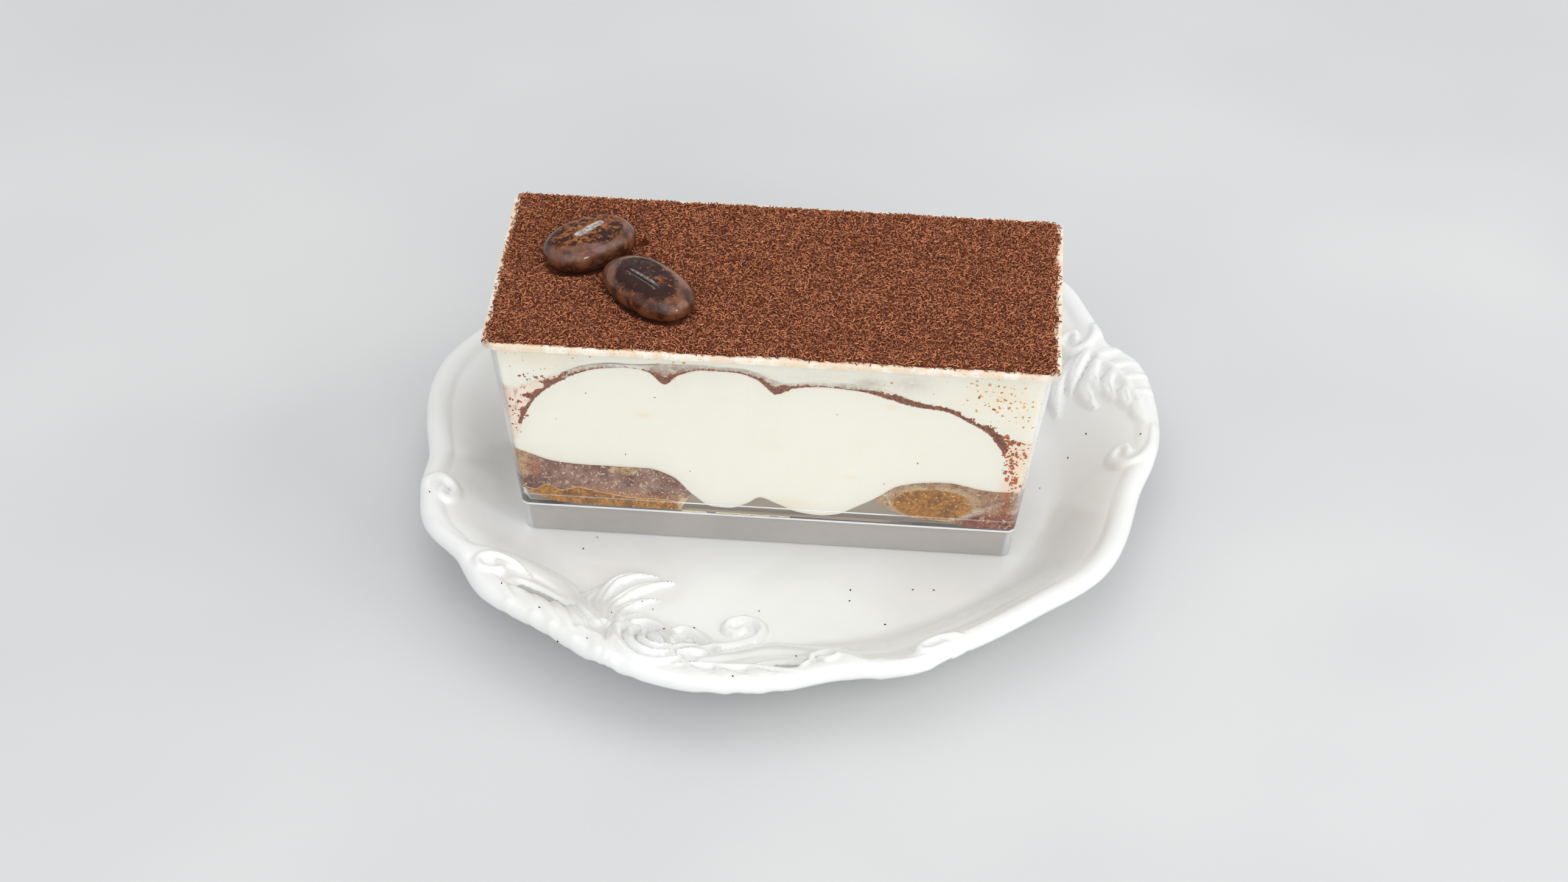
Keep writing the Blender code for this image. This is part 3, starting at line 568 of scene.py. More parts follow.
# Raised forms on the rim: shape, height, half width, then the points of the middle line
RELIEF = (
    ("curl", 1.5, 1.9, ((-84.6, -39), (-83.6, -33), (-82.6, -27.6), (-80.3, -24.2), (-77.6, -24.0),
                        (-75.6, -26.4), (-75.7, -29.9), (-77.2, -31.7), (-78.6, -30.2), (-78.3, -28.4))),
    ("band", 1.3, 4.4, ((-79.5, -41), (-75.5, -47.5), (-69.5, -52), (-63.5, -51.0), (-58.0, -48.2),
                        (-53.0, -48.6), (-48.6, -51.0), (-45.0, -55.8), (-43.2, -62.0))),
    ("curl", 1.9, 1.5, ((-55.0, -53.0), (-59.0, -50.6), (-63.4, -51.2), (-66.4, -54.6), (-66.0, -57.6),
                        (-63.2, -58.4), (-61.0, -56.2), (-61.8, -54.0))),
    ("band", 1.1, 1.3, ((-67.5, -58.5), (-65.7, -63.4), (-59.6, -69.5), (-51.2, -75.6), (-43.9, -79.9),
                        (-38, -81.5))),
    ("leaf", 1.4, 1.7, ((-62.9, -60.0), (-59.8, -64.0), (-56.2, -70.8))),
    ("leaf", 1.4, 1.8, ((-57.6, -63.2), (-53.6, -67.5), (-50.2, -75.0))),
    ("leaf", 1.5, 1.9, ((-52.4, -65.4), (-48.9, -70.5), (-46.0, -78.0))),
    ("leaf", 1.5, 1.9, ((-47.8, -66.4), (-45.0, -72.5), (-42.4, -79.6))),
    ("leaf", 1.5, 1.8, ((-44.4, -64.4), (-41.9, -71.5), (-39.4, -79.6))),
    ("leaf", 1.8, 2.3, ((-37.6, -71.0), (-41.6, -62.0), (-42.0, -55.0), (-38.6, -47.2))),
    ("leaf", 1.8, 2.2, ((-37.0, -69.0), (-38.9, -58.0), (-37.4, -48.5), (-33.0, -43.8), (-27.0, -43.4))),
    ("leaf", 1.8, 2.0, ((-36.0, -69.0), (-36.3, -57.5), (-32.9, -50.8), (-28.5, -47.2), (-22.8, -45.0))),
    ("leaf", 1.6, 1.8, ((-35.0, -70.0), (-34.2, -59.5), (-31.1, -54.0), (-26.0, -51.8))),
    ("leaf", 1.4, 1.6, ((-34.2, -71.0), (-33.4, -62.5), (-29.6, -57.0))),
    ("leaf", 1.6, 2.2, ((-41.0, -77.0), (-37.4, -79.7), (-35.6, -83.8), (-32.0, -89.0))),
    ("leaf", 1.5, 1.9, ((-34.0, -78.0), (-33.6, -84.5), (-31.2, -89.2), (-26.0, -91.4))),
    ("band", 2.0, 1.9, ((-30.6, -63.6), (-33.2, -70.0), (-33.0, -78.0), (-30.4, -84.4), (-26.4, -87.6),
                        (-21.4, -87.2), (-17.6, -83.2))),
    ("band", 2.4, 1.6, ((-28.6, -65.6), (-30.2, -71.6), (-29.8, -78.4), (-26.8, -83.4), (-22.6, -84.0),
                        (-19.6, -80.4))),
    ("band", 2.8, 1.3, ((-26.6, -68.0), (-27.6, -73.8), (-26.4, -79.2), (-23.4, -80.9), (-20.6, -77.4))),
    ("band", 2.4, 1.7, ((-31.4, -64.6), (-27.6, -62.4), (-23.6, -64.6), (-20.8, -69.6), (-20.6, -75.0))),
    ("leaf", 3.1, 1.8, ((-26.0, -71.6), (-24.0, -75.0), (-22.2, -78.6))),
    ("leaf", 2.9, 1.5, ((-24.6, -68.2), (-21.8, -71.4), (-20.6, -75.4))),
    ("band", 1.6, 1.7, ((-23.0, -66.0), (-19.4, -62.4), (-15.4, -64.8), (-12.2, -69.6), (-10.0, -74.0))),
    ("leaf", 2.2, 2.0, ((-20.2, -77.2), (-17.2, -74.6), (-14.8, -71.6))),
    ("leaf", 2.2, 2.0, ((-18.6, -79.6), (-15.6, -78.0), (-12.2, -76.8))),
    ("leaf", 2.0, 2.0, ((-19.4, -74.8), (-18.2, -71.2), (-17.4, -67.4))),
    ("band", 1.3, 1.3, ((-20.4, -88.4), (-13.8, -86.6), (-7.9, -86.8), (-1.8, -86.4), (4.0, -87.6), (9.0, -88.0))),
    ("leaf", 1.3, 1.7, ((-16.6, -87.6), (-12.6, -91.2), (-7.6, -92.4))),
    ("leaf", 1.3, 1.7, ((-9.6, -88.2), (-5.4, -91.2), (-0.4, -91.8))),
    ("leaf", 1.3, 1.6, ((-2.4, -87.8), (1.8, -90.0), (6.4, -90.0))),
    ("curl", 1.7, 1.6, ((-16.0, -74.4), (-11.6, -71.0), (-6.8, -68.0), (-3.0, -64.6), (-1.4, -61.2),
                        (-2.6, -58.4), (-5.8, -57.4), (-8.8, -58.6), (-9.6, -61.0), (-7.4, -62.6), (-5.6, -61.0))),
    ("band", 1.4, 3.9, ((-14.0, -84.0), (-9.0, -78.4), (-4.6, -72.8), (0.2, -69.6), (5.4, -69.4),
                        (10.8, -71.4), (15.4, -76.4), (20.0, -82.4), (25.0, -84.6))),
    ("curl", 1.8, 1.5, ((8.4, -87.4), (9.8, -83.0), (11.6, -79.2), (14.6, -78.0), (16.4, -80.6),
                        (14.6, -83.2), (12.6, -82.2))),
    ("band", 1.2, 2.2, ((26.0, -83.4), (32.6, -82.8), (38.0, -80.4), (42.6, -76.6), (46.0, -72.4))),
    ("curl", 1.7, 1.8, ((45.0, -72.6), (42.0, -72.4), (38.0, -72.8), (34.8, -75.4), (34.6, -78.0),
                        (37.2, -78.0), (40.0, -75.8))),
    ("curl", 1.7, 2.0, ((87.6, 18.0), (87.4, 11.0), (86.6, 5.4), (84.4, 0.4), (81.4, -1.8), (78.6, -0.8),
                        (77.0, 2.6), (77.8, 5.6), (80.0, 6.0), (80.8, 3.6))),
    ("band", 1.3, 1.4, ((69.0, 49.0), (71.6, 45.3), (75.8, 40.0), (79.9, 32.8), (83.4, 23.3), (86.2, 13.0))),
    ("leaf", 1.8, 2.0, ((73.9, 42.2), (72.4, 37.0), (74.2, 30.2))),
    ("leaf", 1.8, 2.0, ((77.4, 37.6), (76.0, 32.0), (77.9, 25.6))),
    ("leaf", 1.7, 1.9, ((80.7, 31.2), (80.0, 26.0), (82.2, 20.0))),
    ("leaf", 1.6, 1.8, ((83.2, 24.6), (83.0, 19.4), (85.4, 13.6))),
    ("leaf", 1.8, 2.1, ((71.4, 45.2), (68.2, 39.6), (67.2, 33.2))),
    ("leaf", 1.7, 2.0, ((72.6, 39.0), (70.4, 33.4), (73.4, 25.6))),
    ("leaf", 1.7, 2.1, ((67.4, 43.0), (63.8, 36.4), (64.4, 27.4))),
    ("leaf", 1.4, 1.7, ((73.0, 43.0), (76.2, 43.6), (79.8, 44.2))),
    ("leaf", 1.4, 1.7, ((76.2, 38.8), (79.2, 39.2), (82.8, 38.6))),
    ("leaf", 1.4, 1.6, ((79.4, 33.2), (82.2, 33.8), (85.2, 32.8))),
    ("leaf", 1.3, 1.5, ((82.0, 27.0), (84.4, 27.4), (87.0, 26.4))),
    ("curl", 1.8, 1.9, ((72.6, 58.0), (73.0, 52.0), (71.2, 47.2), (67.6, 45.6), (64.8, 48.0), (65.0, 51.4),
                        (67.6, 52.2), (68.2, 49.8))),
)
# Outlines of the two openings through the rim
LEFT_OPENING = (
    (-58.2, -60.6), (-56.4, -57.6), (-52.6, -57.7), (-48.6, -59.7), (-45.6, -62.2), (-44.0, -64.6),
    (-46.2, -65.4), (-48.6, -65.2), (-50.6, -65.0), (-52.6, -62.8), (-55.4, -62.9),
)
FRONT_OPENING = (
    (-1.4, -84.8), (1.0, -82.0), (4.0, -80.5), (7.2, -80.9), (10.0, -82.4), (8.8, -84.5),
    (6.6, -85.2), (4.2, -84.9), (1.6, -85.0),
)
ROLL_HEIGHT, ROLL_INSET, ROLL_HALF = 0.8, 2.6, 3.4
LIP, LIP_DROP = 1.5, 1.1
# Rings of the plate's skin: places across the well, how many up the rim, turns round the edge in degrees,
# stops back under the rim as shares, and radii with heights at the foot
WELL_RINGS, RINGS_FROM, RIM_RINGS = (8.0, 26.0, 38.0), 47.0, 74
EDGE_TURNS = (75, 55, 35, 15, -5, -25, -50, -80, -105)
UNDER_STOPS = (0.88, 0.76, 0.64, 0.5, 0.36, 0.22, 0.1)
FOOT_RINGS = (
    (FOOT_OUTER + 1.6, 1.8), (FOOT_OUTER + 0.6, 0.5), (FOOT_OUTER - 0.4, 0.0), (FOOT_INNER + 0.4, 0.0),
    (FOOT_INNER - 0.6, 0.6), (FOOT_INNER - 1.6, FOOT_RECESS), (8.0, FOOT_RECESS),
)


def rim_radius(angle):
    return curve_value(RIM_KNOTS, (angle + 180) % 360 - 180)


def relief_height(x, y):
    """How far the ornament stands above the rim at each place."""
    power = 5
    total = np.zeros(len(x))
    for shape, height, half, stops in RELIEF:
        path = smooth_path(stops, 0.25)
        t = np.linspace(0, 1, len(path))
        if shape == "leaf":
            wide = half * np.sin(math.pi * (0.12 + 0.86 * t)) ** 0.7
        elif shape == "curl":
            wide = half * (0.25 + 0.75 * ramp(0, 0.2, t)) * (1 - 0.25 * t)
        else:
            wide = half * (0.2 + 0.8 * np.sin(math.pi * t) ** 0.5)
        close = np.flatnonzero(
            (x > path[:, 0].min() - half) & (x < path[:, 0].max() + half)
            & (y > path[:, 1].min() - half) & (y < path[:, 1].max() + half)
        )
        if not len(close):
            continue
        away = np.hypot(x[close, None] - path[None, :, 0], y[close, None] - path[None, :, 1])
        q = (away / wide[None, :]).min(axis=1)
        dome = np.maximum(1 - q * q, 0) ** 0.7
        if shape == "leaf":
            dome -= 0.28 * near(q, 0.16)
        fade = (wide[away.argmin(axis=1)] / half) ** 0.5
        total[close] += np.maximum(height * dome * fade, 0) ** power
    return total ** (1 / power)


def distance_to_outline(x, y, outline):
    """Distance to a closed outline, less than nothing inside it."""
    path = smooth_path((*outline, outline[0]), 0.2)
    away = np.full(len(x), 99.0)
    close = np.flatnonzero(np.hypot(x - path[:, 0].mean(), y - path[:, 1].mean()) < 14)
    away[close] = np.hypot(x[close, None] - path[None, :, 0], y[close, None] - path[None, :, 1]).min(axis=1)
    inside = np.zeros(len(x), bool)
    for (x1, y1), (x2, y2) in zip(path, np.roll(path, -1, axis=0)):
        if y1 != y2:
            crosses = (y[close] > min(y1, y2)) & (y[close] <= max(y1, y2))
            inside[close] ^= crosses & (x[close] < x1 + (y[close] - y1) * (x2 - x1) / (y2 - y1))
    return np.where(inside, -away, away)


def rim_rise(angle, radius):
    t = np.clip((radius - WELL_RADIUS) / (rim_radius(angle) - EDGE_ROUND - WELL_RADIUS), 0, 1)
    return WELL_TOP + RIM_RISE * t * t * (3 - 2 * t)


def plate_surface(angle, radius):
    """Height of the finished upper face: the rim's slope, its rolled edge and the ornament."""
    x, y = radius * np.cos(np.radians(angle)), radius * np.sin(np.radians(angle))
    base = rim_rise(angle, radius)
    across = (rim_radius(angle) - radius - ROLL_INSET) / ROLL_HALF
    roll = ROLL_HEIGHT * np.maximum(1 - across * across, 0) ** 0.8
    raised = np.maximum(roll, 0) ** 4 + relief_height(x, y) ** 4
    height = base + raised**0.25
    for outline in (LEFT_OPENING, FRONT_OPENING):
        height -= LIP_DROP * np.clip(1 - distance_to_outline(x, y, outline) / LIP, 0, 1) ** 2
    return height


def plate_angles():
    """Angles round the rim, closer together where it is carved."""
    fine, coarse = 0.33, 1.1
    stops = ((-180, -172, coarse), (-172, -40, fine), (-40, -12, coarse), (-12, 50, fine), (50, 180, coarse))
    return np.concatenate([np.arange(low, high, step) for low, high, step in stops])


def opening_cutter(outline):
    path = smooth_path((*outline, outline[0]), 0.4)[:-1]
    points = np.vstack([np.column_stack([path, np.full(len(path), z)]) for z in (-5.0, 40.0)])
    mesh = bpy.data.meshes.new("cutter")
    mesh.from_pydata((add_place(points, PLATE_AT, 0) * MM).tolist(), [], closed_rings(2, len(path)))
    cutter = bpy.data.objects.new("cutter", mesh)
    bpy.context.scene.collection.objects.link(cutter)
    return cutter


def plate():
    """Rings from the middle of the well over the rim, round its edge and back under to the foot."""
    angles = plate_angles()
    edge = rim_radius(angles) - EDGE_ROUND
    rows = [(np.full(len(angles), r), np.full(len(angles), WELL_TOP)) for r in WELL_RINGS]
    for t in np.linspace(0, 1, RIM_RINGS):
        radius = RINGS_FROM + (edge - RINGS_FROM) * t
        rows.append((radius, plate_surface(angles, radius)))
    low = rows[-1][1] - EDGE_ROUND
    for turn in np.radians(EDGE_TURNS):
        rows.append((edge + EDGE_ROUND * math.cos(turn), low + EDGE_ROUND * math.sin(turn)))
    for t in UNDER_STOPS:
        radius = FOOT_OUTER + 2 + (edge - FOOT_OUTER - 2) * t
        rows.append((radius, np.maximum(rim_rise(angles, radius), WELL_TOP) - BODY_THICKNESS))
    rows += [(np.full(len(angles), r), np.full(len(angles), z)) for r, z in FOOT_RINGS]
    turns = np.radians(angles)
    points = np.vstack([np.column_stack([r * np.cos(turns), r * np.sin(turns), z]) for r, z in rows])
    faces = [face[::-1] for face in closed_rings(len(rows), len(angles))]
    glaze = porcelain()
    made = new_piece("plate_glazed", add_place(points, PLATE_AT, 0), faces, glaze, "porcelain", ("plate",))
    for outline in (LEFT_OPENING, FRONT_OPENING):
        cutter = opening_cutter(outline)
        step = made.modifiers.new("opening", "BOOLEAN")
        step.operation, step.solver, step.object = "DIFFERENCE", "MANIFOLD", cutter
        bpy.context.view_layer.update()
        mesh = bpy.data.meshes.new_from_object(made.evaluated_get(bpy.context.evaluated_depsgraph_get()))
        made.modifiers.clear()
        made.data = mesh
        bpy.data.objects.remove(cutter)
    made.data.materials.clear()
    made.data.materials.append(glaze)
    made.data.shade_smooth()
    made.data.set_sharp_from_angle(angle=math.radians(SHARP_FROM))


# Box

CORNER_STEPS, SIDE_STEPS = 9, 40
SIGNS = ((1, 1), (-1, 1), (-1, -1), (1, -1))
# Rings of the box: height, how far inwards, then how much painted light covers it, how much of that is warm-grey
# painted shade rather than white painted highlight, and how dusted
# The white bands at 7.5 to 7.95 and 10.65 to 10.95 are painted highlight lines; the skirt below them, and the
# floor and lower wall inside, carry warm-grey painted shade.
OUTER_RINGS = (
    (FLOOR_UNDER, WALL + 0.5, 0.4, 0.8, 0), (FLOOR_UNDER - 0.4, WALL, 0.4, 0.3, 0), (0.25, WALL, 0.1, 1.0, 0),
    (0, WALL - 0.25, 0.5, 0.7, 0), (0, 0.25, 0.7, 0.6, 0), (0.25, 0, 0.7, 0.6, 0), (7.4, 0, 0.55, 0.75, 0),
    (7.5, 0, 0.9, 0, 0), (7.95, 0, 0.9, 0, 0), (8.05, 0, 0.02, 0.5, 0), (8.4, 0, 0.02, 1, 0), (8.5, 0, 0.7, 1, 0),
    (9.15, 0, 0.7, 1, 0), (9.25, 0, 0.02, 1, 0), (10.55, 0, 0.02, 0.5, 0), (10.65, 0, 0.9, 0, 0),
    (10.95, 0, 0.9, 0, 0), (11.05, 0, 0, 0, 0), (30.0, 0, 0, 0, 0), (FLANGE_UNDER - 0.5, 0, 0, 0, 0),
    (FLANGE_UNDER - 0.1, -0.12, 0, 0, 0), (FLANGE_UNDER, -0.5, 0, 0, 0.3),
)
INNER_RINGS = (
    (BOX_HEIGHT, WALL - 0.3, 0, 0, 1), (BOX_HEIGHT - 0.3, WALL, 0, 0, 0.6), (BOX_HEIGHT - 1.5, WALL, 0, 0, 0),
    (30.0, WALL, 0, 0, 0), (17.0, WALL, 0, 1, 0), (14.8, WALL, 0.8, 1, 0), (BEVEL_TOP + 0.3, WALL, 0.85, 1, 0),
    (BEVEL_TOP + 0.05, WALL, 0.85, 1, 0),
)
FLOOR_RINGS = (
    (BEVEL_TOP - 0.25, 0.2, 0.8, 1, 0), (FLOOR_TOP + 0.4, 0.8, 0.8, 1, 0), (FLOOR_TOP + 0.15, 1.0, 0.9, 0.5, 0),
    (FLOOR_TOP, 1.5, 0.8, 0.8, 0), (FLOOR_TOP, 1.9, 0.7, 1, 0),
)


def outer_half(z):
    """Half the length and half the width of the box's outside at height z above its foot."""
    t = np.asarray(z, float) / BOX_HEIGHT
    length = FOOT_LENGTH + (RIM_LENGTH - 2 * END_FLANGE - FOOT_LENGTH) * t
    width = FOOT_WIDTH + (RIM_WIDTH - 2 * SIDE_FLANGE - FOOT_WIDTH) * t
    return length / 2, width / 2


def rounded_ring(half_x, half_y, z, corner=FLOOR_CORNER):
    """A rounded rectangle with points along its sides."""
    ring = []
    flat_x, flat_y = half_x - corner, half_y - corner
    for quarter in range(4):
        (sx, sy), (tx, ty) = SIGNS[quarter], SIGNS[(quarter + 1) % 4]
        for step in range(CORNER_STEPS + 1):
            a = math.radians(90 * (quarter + step / CORNER_STEPS))
            ring.append((sx * flat_x + corner * math.cos(a), sy * flat_y + corner * math.sin(a)))
        start = np.array(ring[-1])
        end = np.array((tx * flat_x + corner * math.cos(a), ty * flat_y + corner * math.sin(a)))
        ring += [tuple(start + (end - start) * k / SIDE_STEPS) for k in range(1, SIDE_STEPS)]
    return np.column_stack([np.array(ring), np.full(len(ring), z)])


def wall_ring(z, inwards):
    half_x, half_y = outer_half(z)
    return rounded_ring(half_x - inwards, half_y - inwards, z, max(CORNER - inwards, FLOOR_CORNER))


def flange_ring(z, inwards):
    return rounded_ring(RIM_LENGTH / 2 - inwards, RIM_WIDTH / 2 - inwards, z, RIM_CORNER - inwards)


def box():
    """One shell; each ring says how much painted light covers the plastic there, how much of that is warm-grey
    painted shade, and how dusted it is.
    """
    rows = [(wall_ring(z, inwards), *looks) for z, inwards, *looks in OUTER_RINGS]
    for turn in (-90, -45, 0, 45, 90):
        a = math.radians(turn)
        z = np.interp(turn, (-45, 45), (FLANGE_UNDER + BEAD, BOX_HEIGHT - BEAD)) + BEAD * math.sin(a)
        rows.append((flange_ring(z, BEAD * (1 - math.cos(a))), 0.4, 0, 0.85 + turn / 900))
    outer_rows = len(rows)
    rows.append((flange_ring(BOX_HEIGHT, 0.9), 0.4, 0, 1))
    rows += [(wall_ring(z, inwards), *looks) for z, inwards, *looks in INNER_RINGS]
    floor_x, floor_y = (half - WALL for half in outer_half(BEVEL_TOP))
    rows += [(rounded_ring(floor_x - inwards, floor_y - inwards, z), *looks) for z, inwards, *looks in FLOOR_RINGS]

    count = len(rows[0][0])
    points = np.vstack([row[0] for row in rows])
    milky_painted_light, painted_shade_tint, dust = (np.repeat([row[k] for row in rows], count) for k in (1, 2, 3))
    step = np.tile(np.arange(count), len(rows)) % (CORNER_STEPS + SIDE_STEPS)
    corner = np.where(step <= CORNER_STEPS, np.sin(math.pi * np.clip(step / CORNER_STEPS, 0, 1)), 0)
    outside = np.repeat(np.arange(len(rows)) < outer_rows, count)
    x, z = points[:, 0], points[:, 2]
    # Painted highlight: white down the rounded corners, more outside than inside.
    milky_painted_light = np.maximum(milky_painted_light, np.where(outside, 0.55 * corner, 0.1) * corner * (z < FLANGE_UNDER))
    # The warm-grey painted shade band at 8.5 to 9.15 shows only in front of the empty gap under the cream, and the
    # upper white line is at full strength only there.
    empty = ramp(-20.5, -19, x) * ramp(34, 26, x)
    milky_painted_light = np.where(outside & (z > 8.1) & (z < 10), milky_painted_light * empty, milky_painted_light)
    milky_painted_light = np.where(outside & (z > 10) & (z < 11.1), milky_painted_light * (0.25 + 0.75 * empty), milky_painted_light)
    looks = {"dust": dust * (1 - 0.5 * corner), "milky_painted_light": milky_painted_light}
    looks |= {"painted_shade_tint": painted_shade_tint * (1 - corner), "shade": ramp(7.6, 7.3, z)}
    faces = closed_rings(len(rows), count)
    new_piece("dessert_box", add_place(points), faces, clear_plastic(), "clear_plastic", ("box",), **looks)


# Food


def wavy(knots, x, depth):
    """A layer's height at x; depth is 0 at the front wall and 1 at the back, where it drifts."""
    return curve_value(knots, x + 3.0 * depth * np.sin(x / 17)) + 0.7 * depth * np.sin(x / 9 + 1)


def lower_cream_under(x, depth):
    return np.maximum(wavy(CREAM_UNDERSIDE, x, depth), FLOOR_TOP + 1.0)


def lower_cream_top(x, depth):
    return np.maximum(wavy(CREAM_TOP, x, depth), lower_cream_under(x, depth) + 1.0)


def upper_cream_under(x, depth):
    return np.minimum(np.maximum(lower_cream_top(x, depth) + 0.9, wavy(UPPER_UNDERSIDE, x, depth)), 54.0)


def upper_cream_top(x, depth):
    """Full at the walls and lower in the middle, where the powder dips under the beans."""
    from_wall = np.minimum(np.minimum(depth, 1 - depth), (60 - np.abs(x)) / 50)
    return CREAM_TO - 1.9 * ramp(0.02, 0.08, from_wall)


def round_corner(x, y, half_x, half_y, corner):
    """Points of the rectangle moved to their places inside the rounded rectangle."""
    over_x, over_y = np.abs(x) - (half_x - corner), np.abs(y) - (half_y - corner)
    turn = (over_x > 0) & (over_y > 0)
    shrink = np.where(turn, np.maximum(over_x, over_y) / np.maximum(np.hypot(over_x, over_y), 1e-9), 1)
    x = np.where(turn, np.copysign(half_x - corner + over_x * shrink, x), x)
    return x, np.where(turn, np.copysign(half_y - corner + over_y * shrink, y), y)


def block_skin(counts):
    """Lattice places on the skin of a block, as shares from 0 to 1, and the skin's quads."""
    grid = np.full(counts, -1)
    skin = np.ones(counts, bool)
    skin[1:-1, 1:-1, 1:-1] = False
    grid[skin] = np.arange(skin.sum())
    quads = []
    sides = ((grid[:, :, 0], True), (grid[:, :, -1], False), (grid[:, 0, :], False))
    sides += ((grid[:, -1, :], True), (grid[0], True), (grid[-1], False))
    for side, flip in sides:
        quad = np.stack([side[:-1, :-1], side[1:, :-1], side[1:, 1:], side[:-1, 1:]], -1).reshape(-1, 4)
        quads.append(quad[:, ::-1] if flip else quad)
    return np.argwhere(skin) / (np.array(counts) - 1), np.vstack(quads).tolist()


def layer_points(shares, low, high, left=None, right=None):
    """Places inside the box for the shares along, across and up a layer between two heights."""
    along, depth, up = shares.T
    z = np.full(len(along), 28.0)
    for _ in range(16):
        half_x, half_y = outer_half(np.minimum(z, BOX_HEIGHT))
        inset = np.interp(z, (FLOOR_TOP, FLOOR_TOP + FLOOR_BEVEL), (0.55, WALL - PRESS))
        half_x, half_y = half_x - inset, half_y - inset
        start = -half_x if left is None else left
        end = half_x if right is None else right + LEFT_FINGER_LEAN * (z - FLOOR_TOP)
        x, y = round_corner(start + (end - start) * along, (2 * depth - 1) * half_y, half_x, half_y, 0.9)
        bottom, top = low(x, depth), high(x, depth)
        z = z + 0.6 * (bottom + (top - bottom) * up - z)
    return np.column_stack([x, y, z])


def layer(name, counts, low, high, paint, material, slot, replaced, left=None, right=None):
    shares, quads = block_skin(counts)
    points = layer_points(shares, low, high, left, right)
    new_piece(name, add_place(points), quads, material, slot, (replaced,), **paint(points, shares))


CREAM = colour(236, 235, 224)


def slope_of(height, x, depth):
    return (height(x + 0.3, depth) - height(x - 0.3, depth)) / 0.6


# Thickness of the dark cocoa line along the front wall
LINE_THICK = (
    (-62, 0.3), (-58, 1.2), (-56, 1.8), (-52, 1.9), (-48, 1.7), (-45, 1.1), (-42.5, 0.5), (-39, 0.22),
    (-30, 0.25), (-26.5, 0.7), (-23.8, 2.1), (-21.5, 0.8), (-18, 0.35), (-8, 0.3), (-3.5, 0.6),
    (-0.5, 1.2), (1.5, 2.0), (3.6, 1.2), (7, 0.75), (12, 0.25), (20, 0.3), (24, 1.3), (27.5, 1.6),
    (30, 2.2), (33, 1.7), (37.5, 1.2), (43, 1.05), (47, 1.2), (50, 1.5), (52.6, 2.2), (54.5, 1.4),
    (57, 0.5), (62, 0.3),
)
SMEAR_TOP = (
    (-49, 46.4), (-46.7, 48.2), (-44.6, 49.3), (-42.5, 50.2), (-39.1, 51.1), (-34.3, 51.4), (-29.5, 51.5),
    (-26.7, 51.8), (-22.6, 52.1), (-15.8, 52.3), (-10.3, 52.1), (-5.5, 51.8), (-3.4, 51.3), (-0.3, 50.0),
    (3.5, 48.4), (8.0, 49.2), (14, 49.4), (20, 49.6), (26, 48.6), (31, 46.5), (36, 44.8),
)
SMEAR = (
    (-49, 0), (-46, 0.9), (-40, 0.9), (-35, 0.6), (-31, 0.2), (-28.5, 0.4), (-26.5, 1), (-21, 1), (-17, 0.85),
    (-10, 0.8), (-4, 0.9), (0, 0.9), (4, 0.7), (9, 0.6), (18, 0.75), (24, 0.6), (29, 0.3), (36, 0),
)
# Soft spots: middle along and up, reach both ways, strength
HAZE = ((22.5, 50.0, 4.0, 1.5, 0.4), (31.5, 50.2, 5.0, 2.6, 0.25), (12, 50, 9, 2.4, 0.12), (-2, 49.5, 3, 1.5, 0.3))
STAINS = (
    (-28.6, 36.6, 1.6, 0.8, 0.45), (18.9, 21.4, 1.6, 0.5, 0.35), (5, 12, 5, 1.6, 0.3), (27.5, 43.4, 1.2, 0.8, 0.4),
)


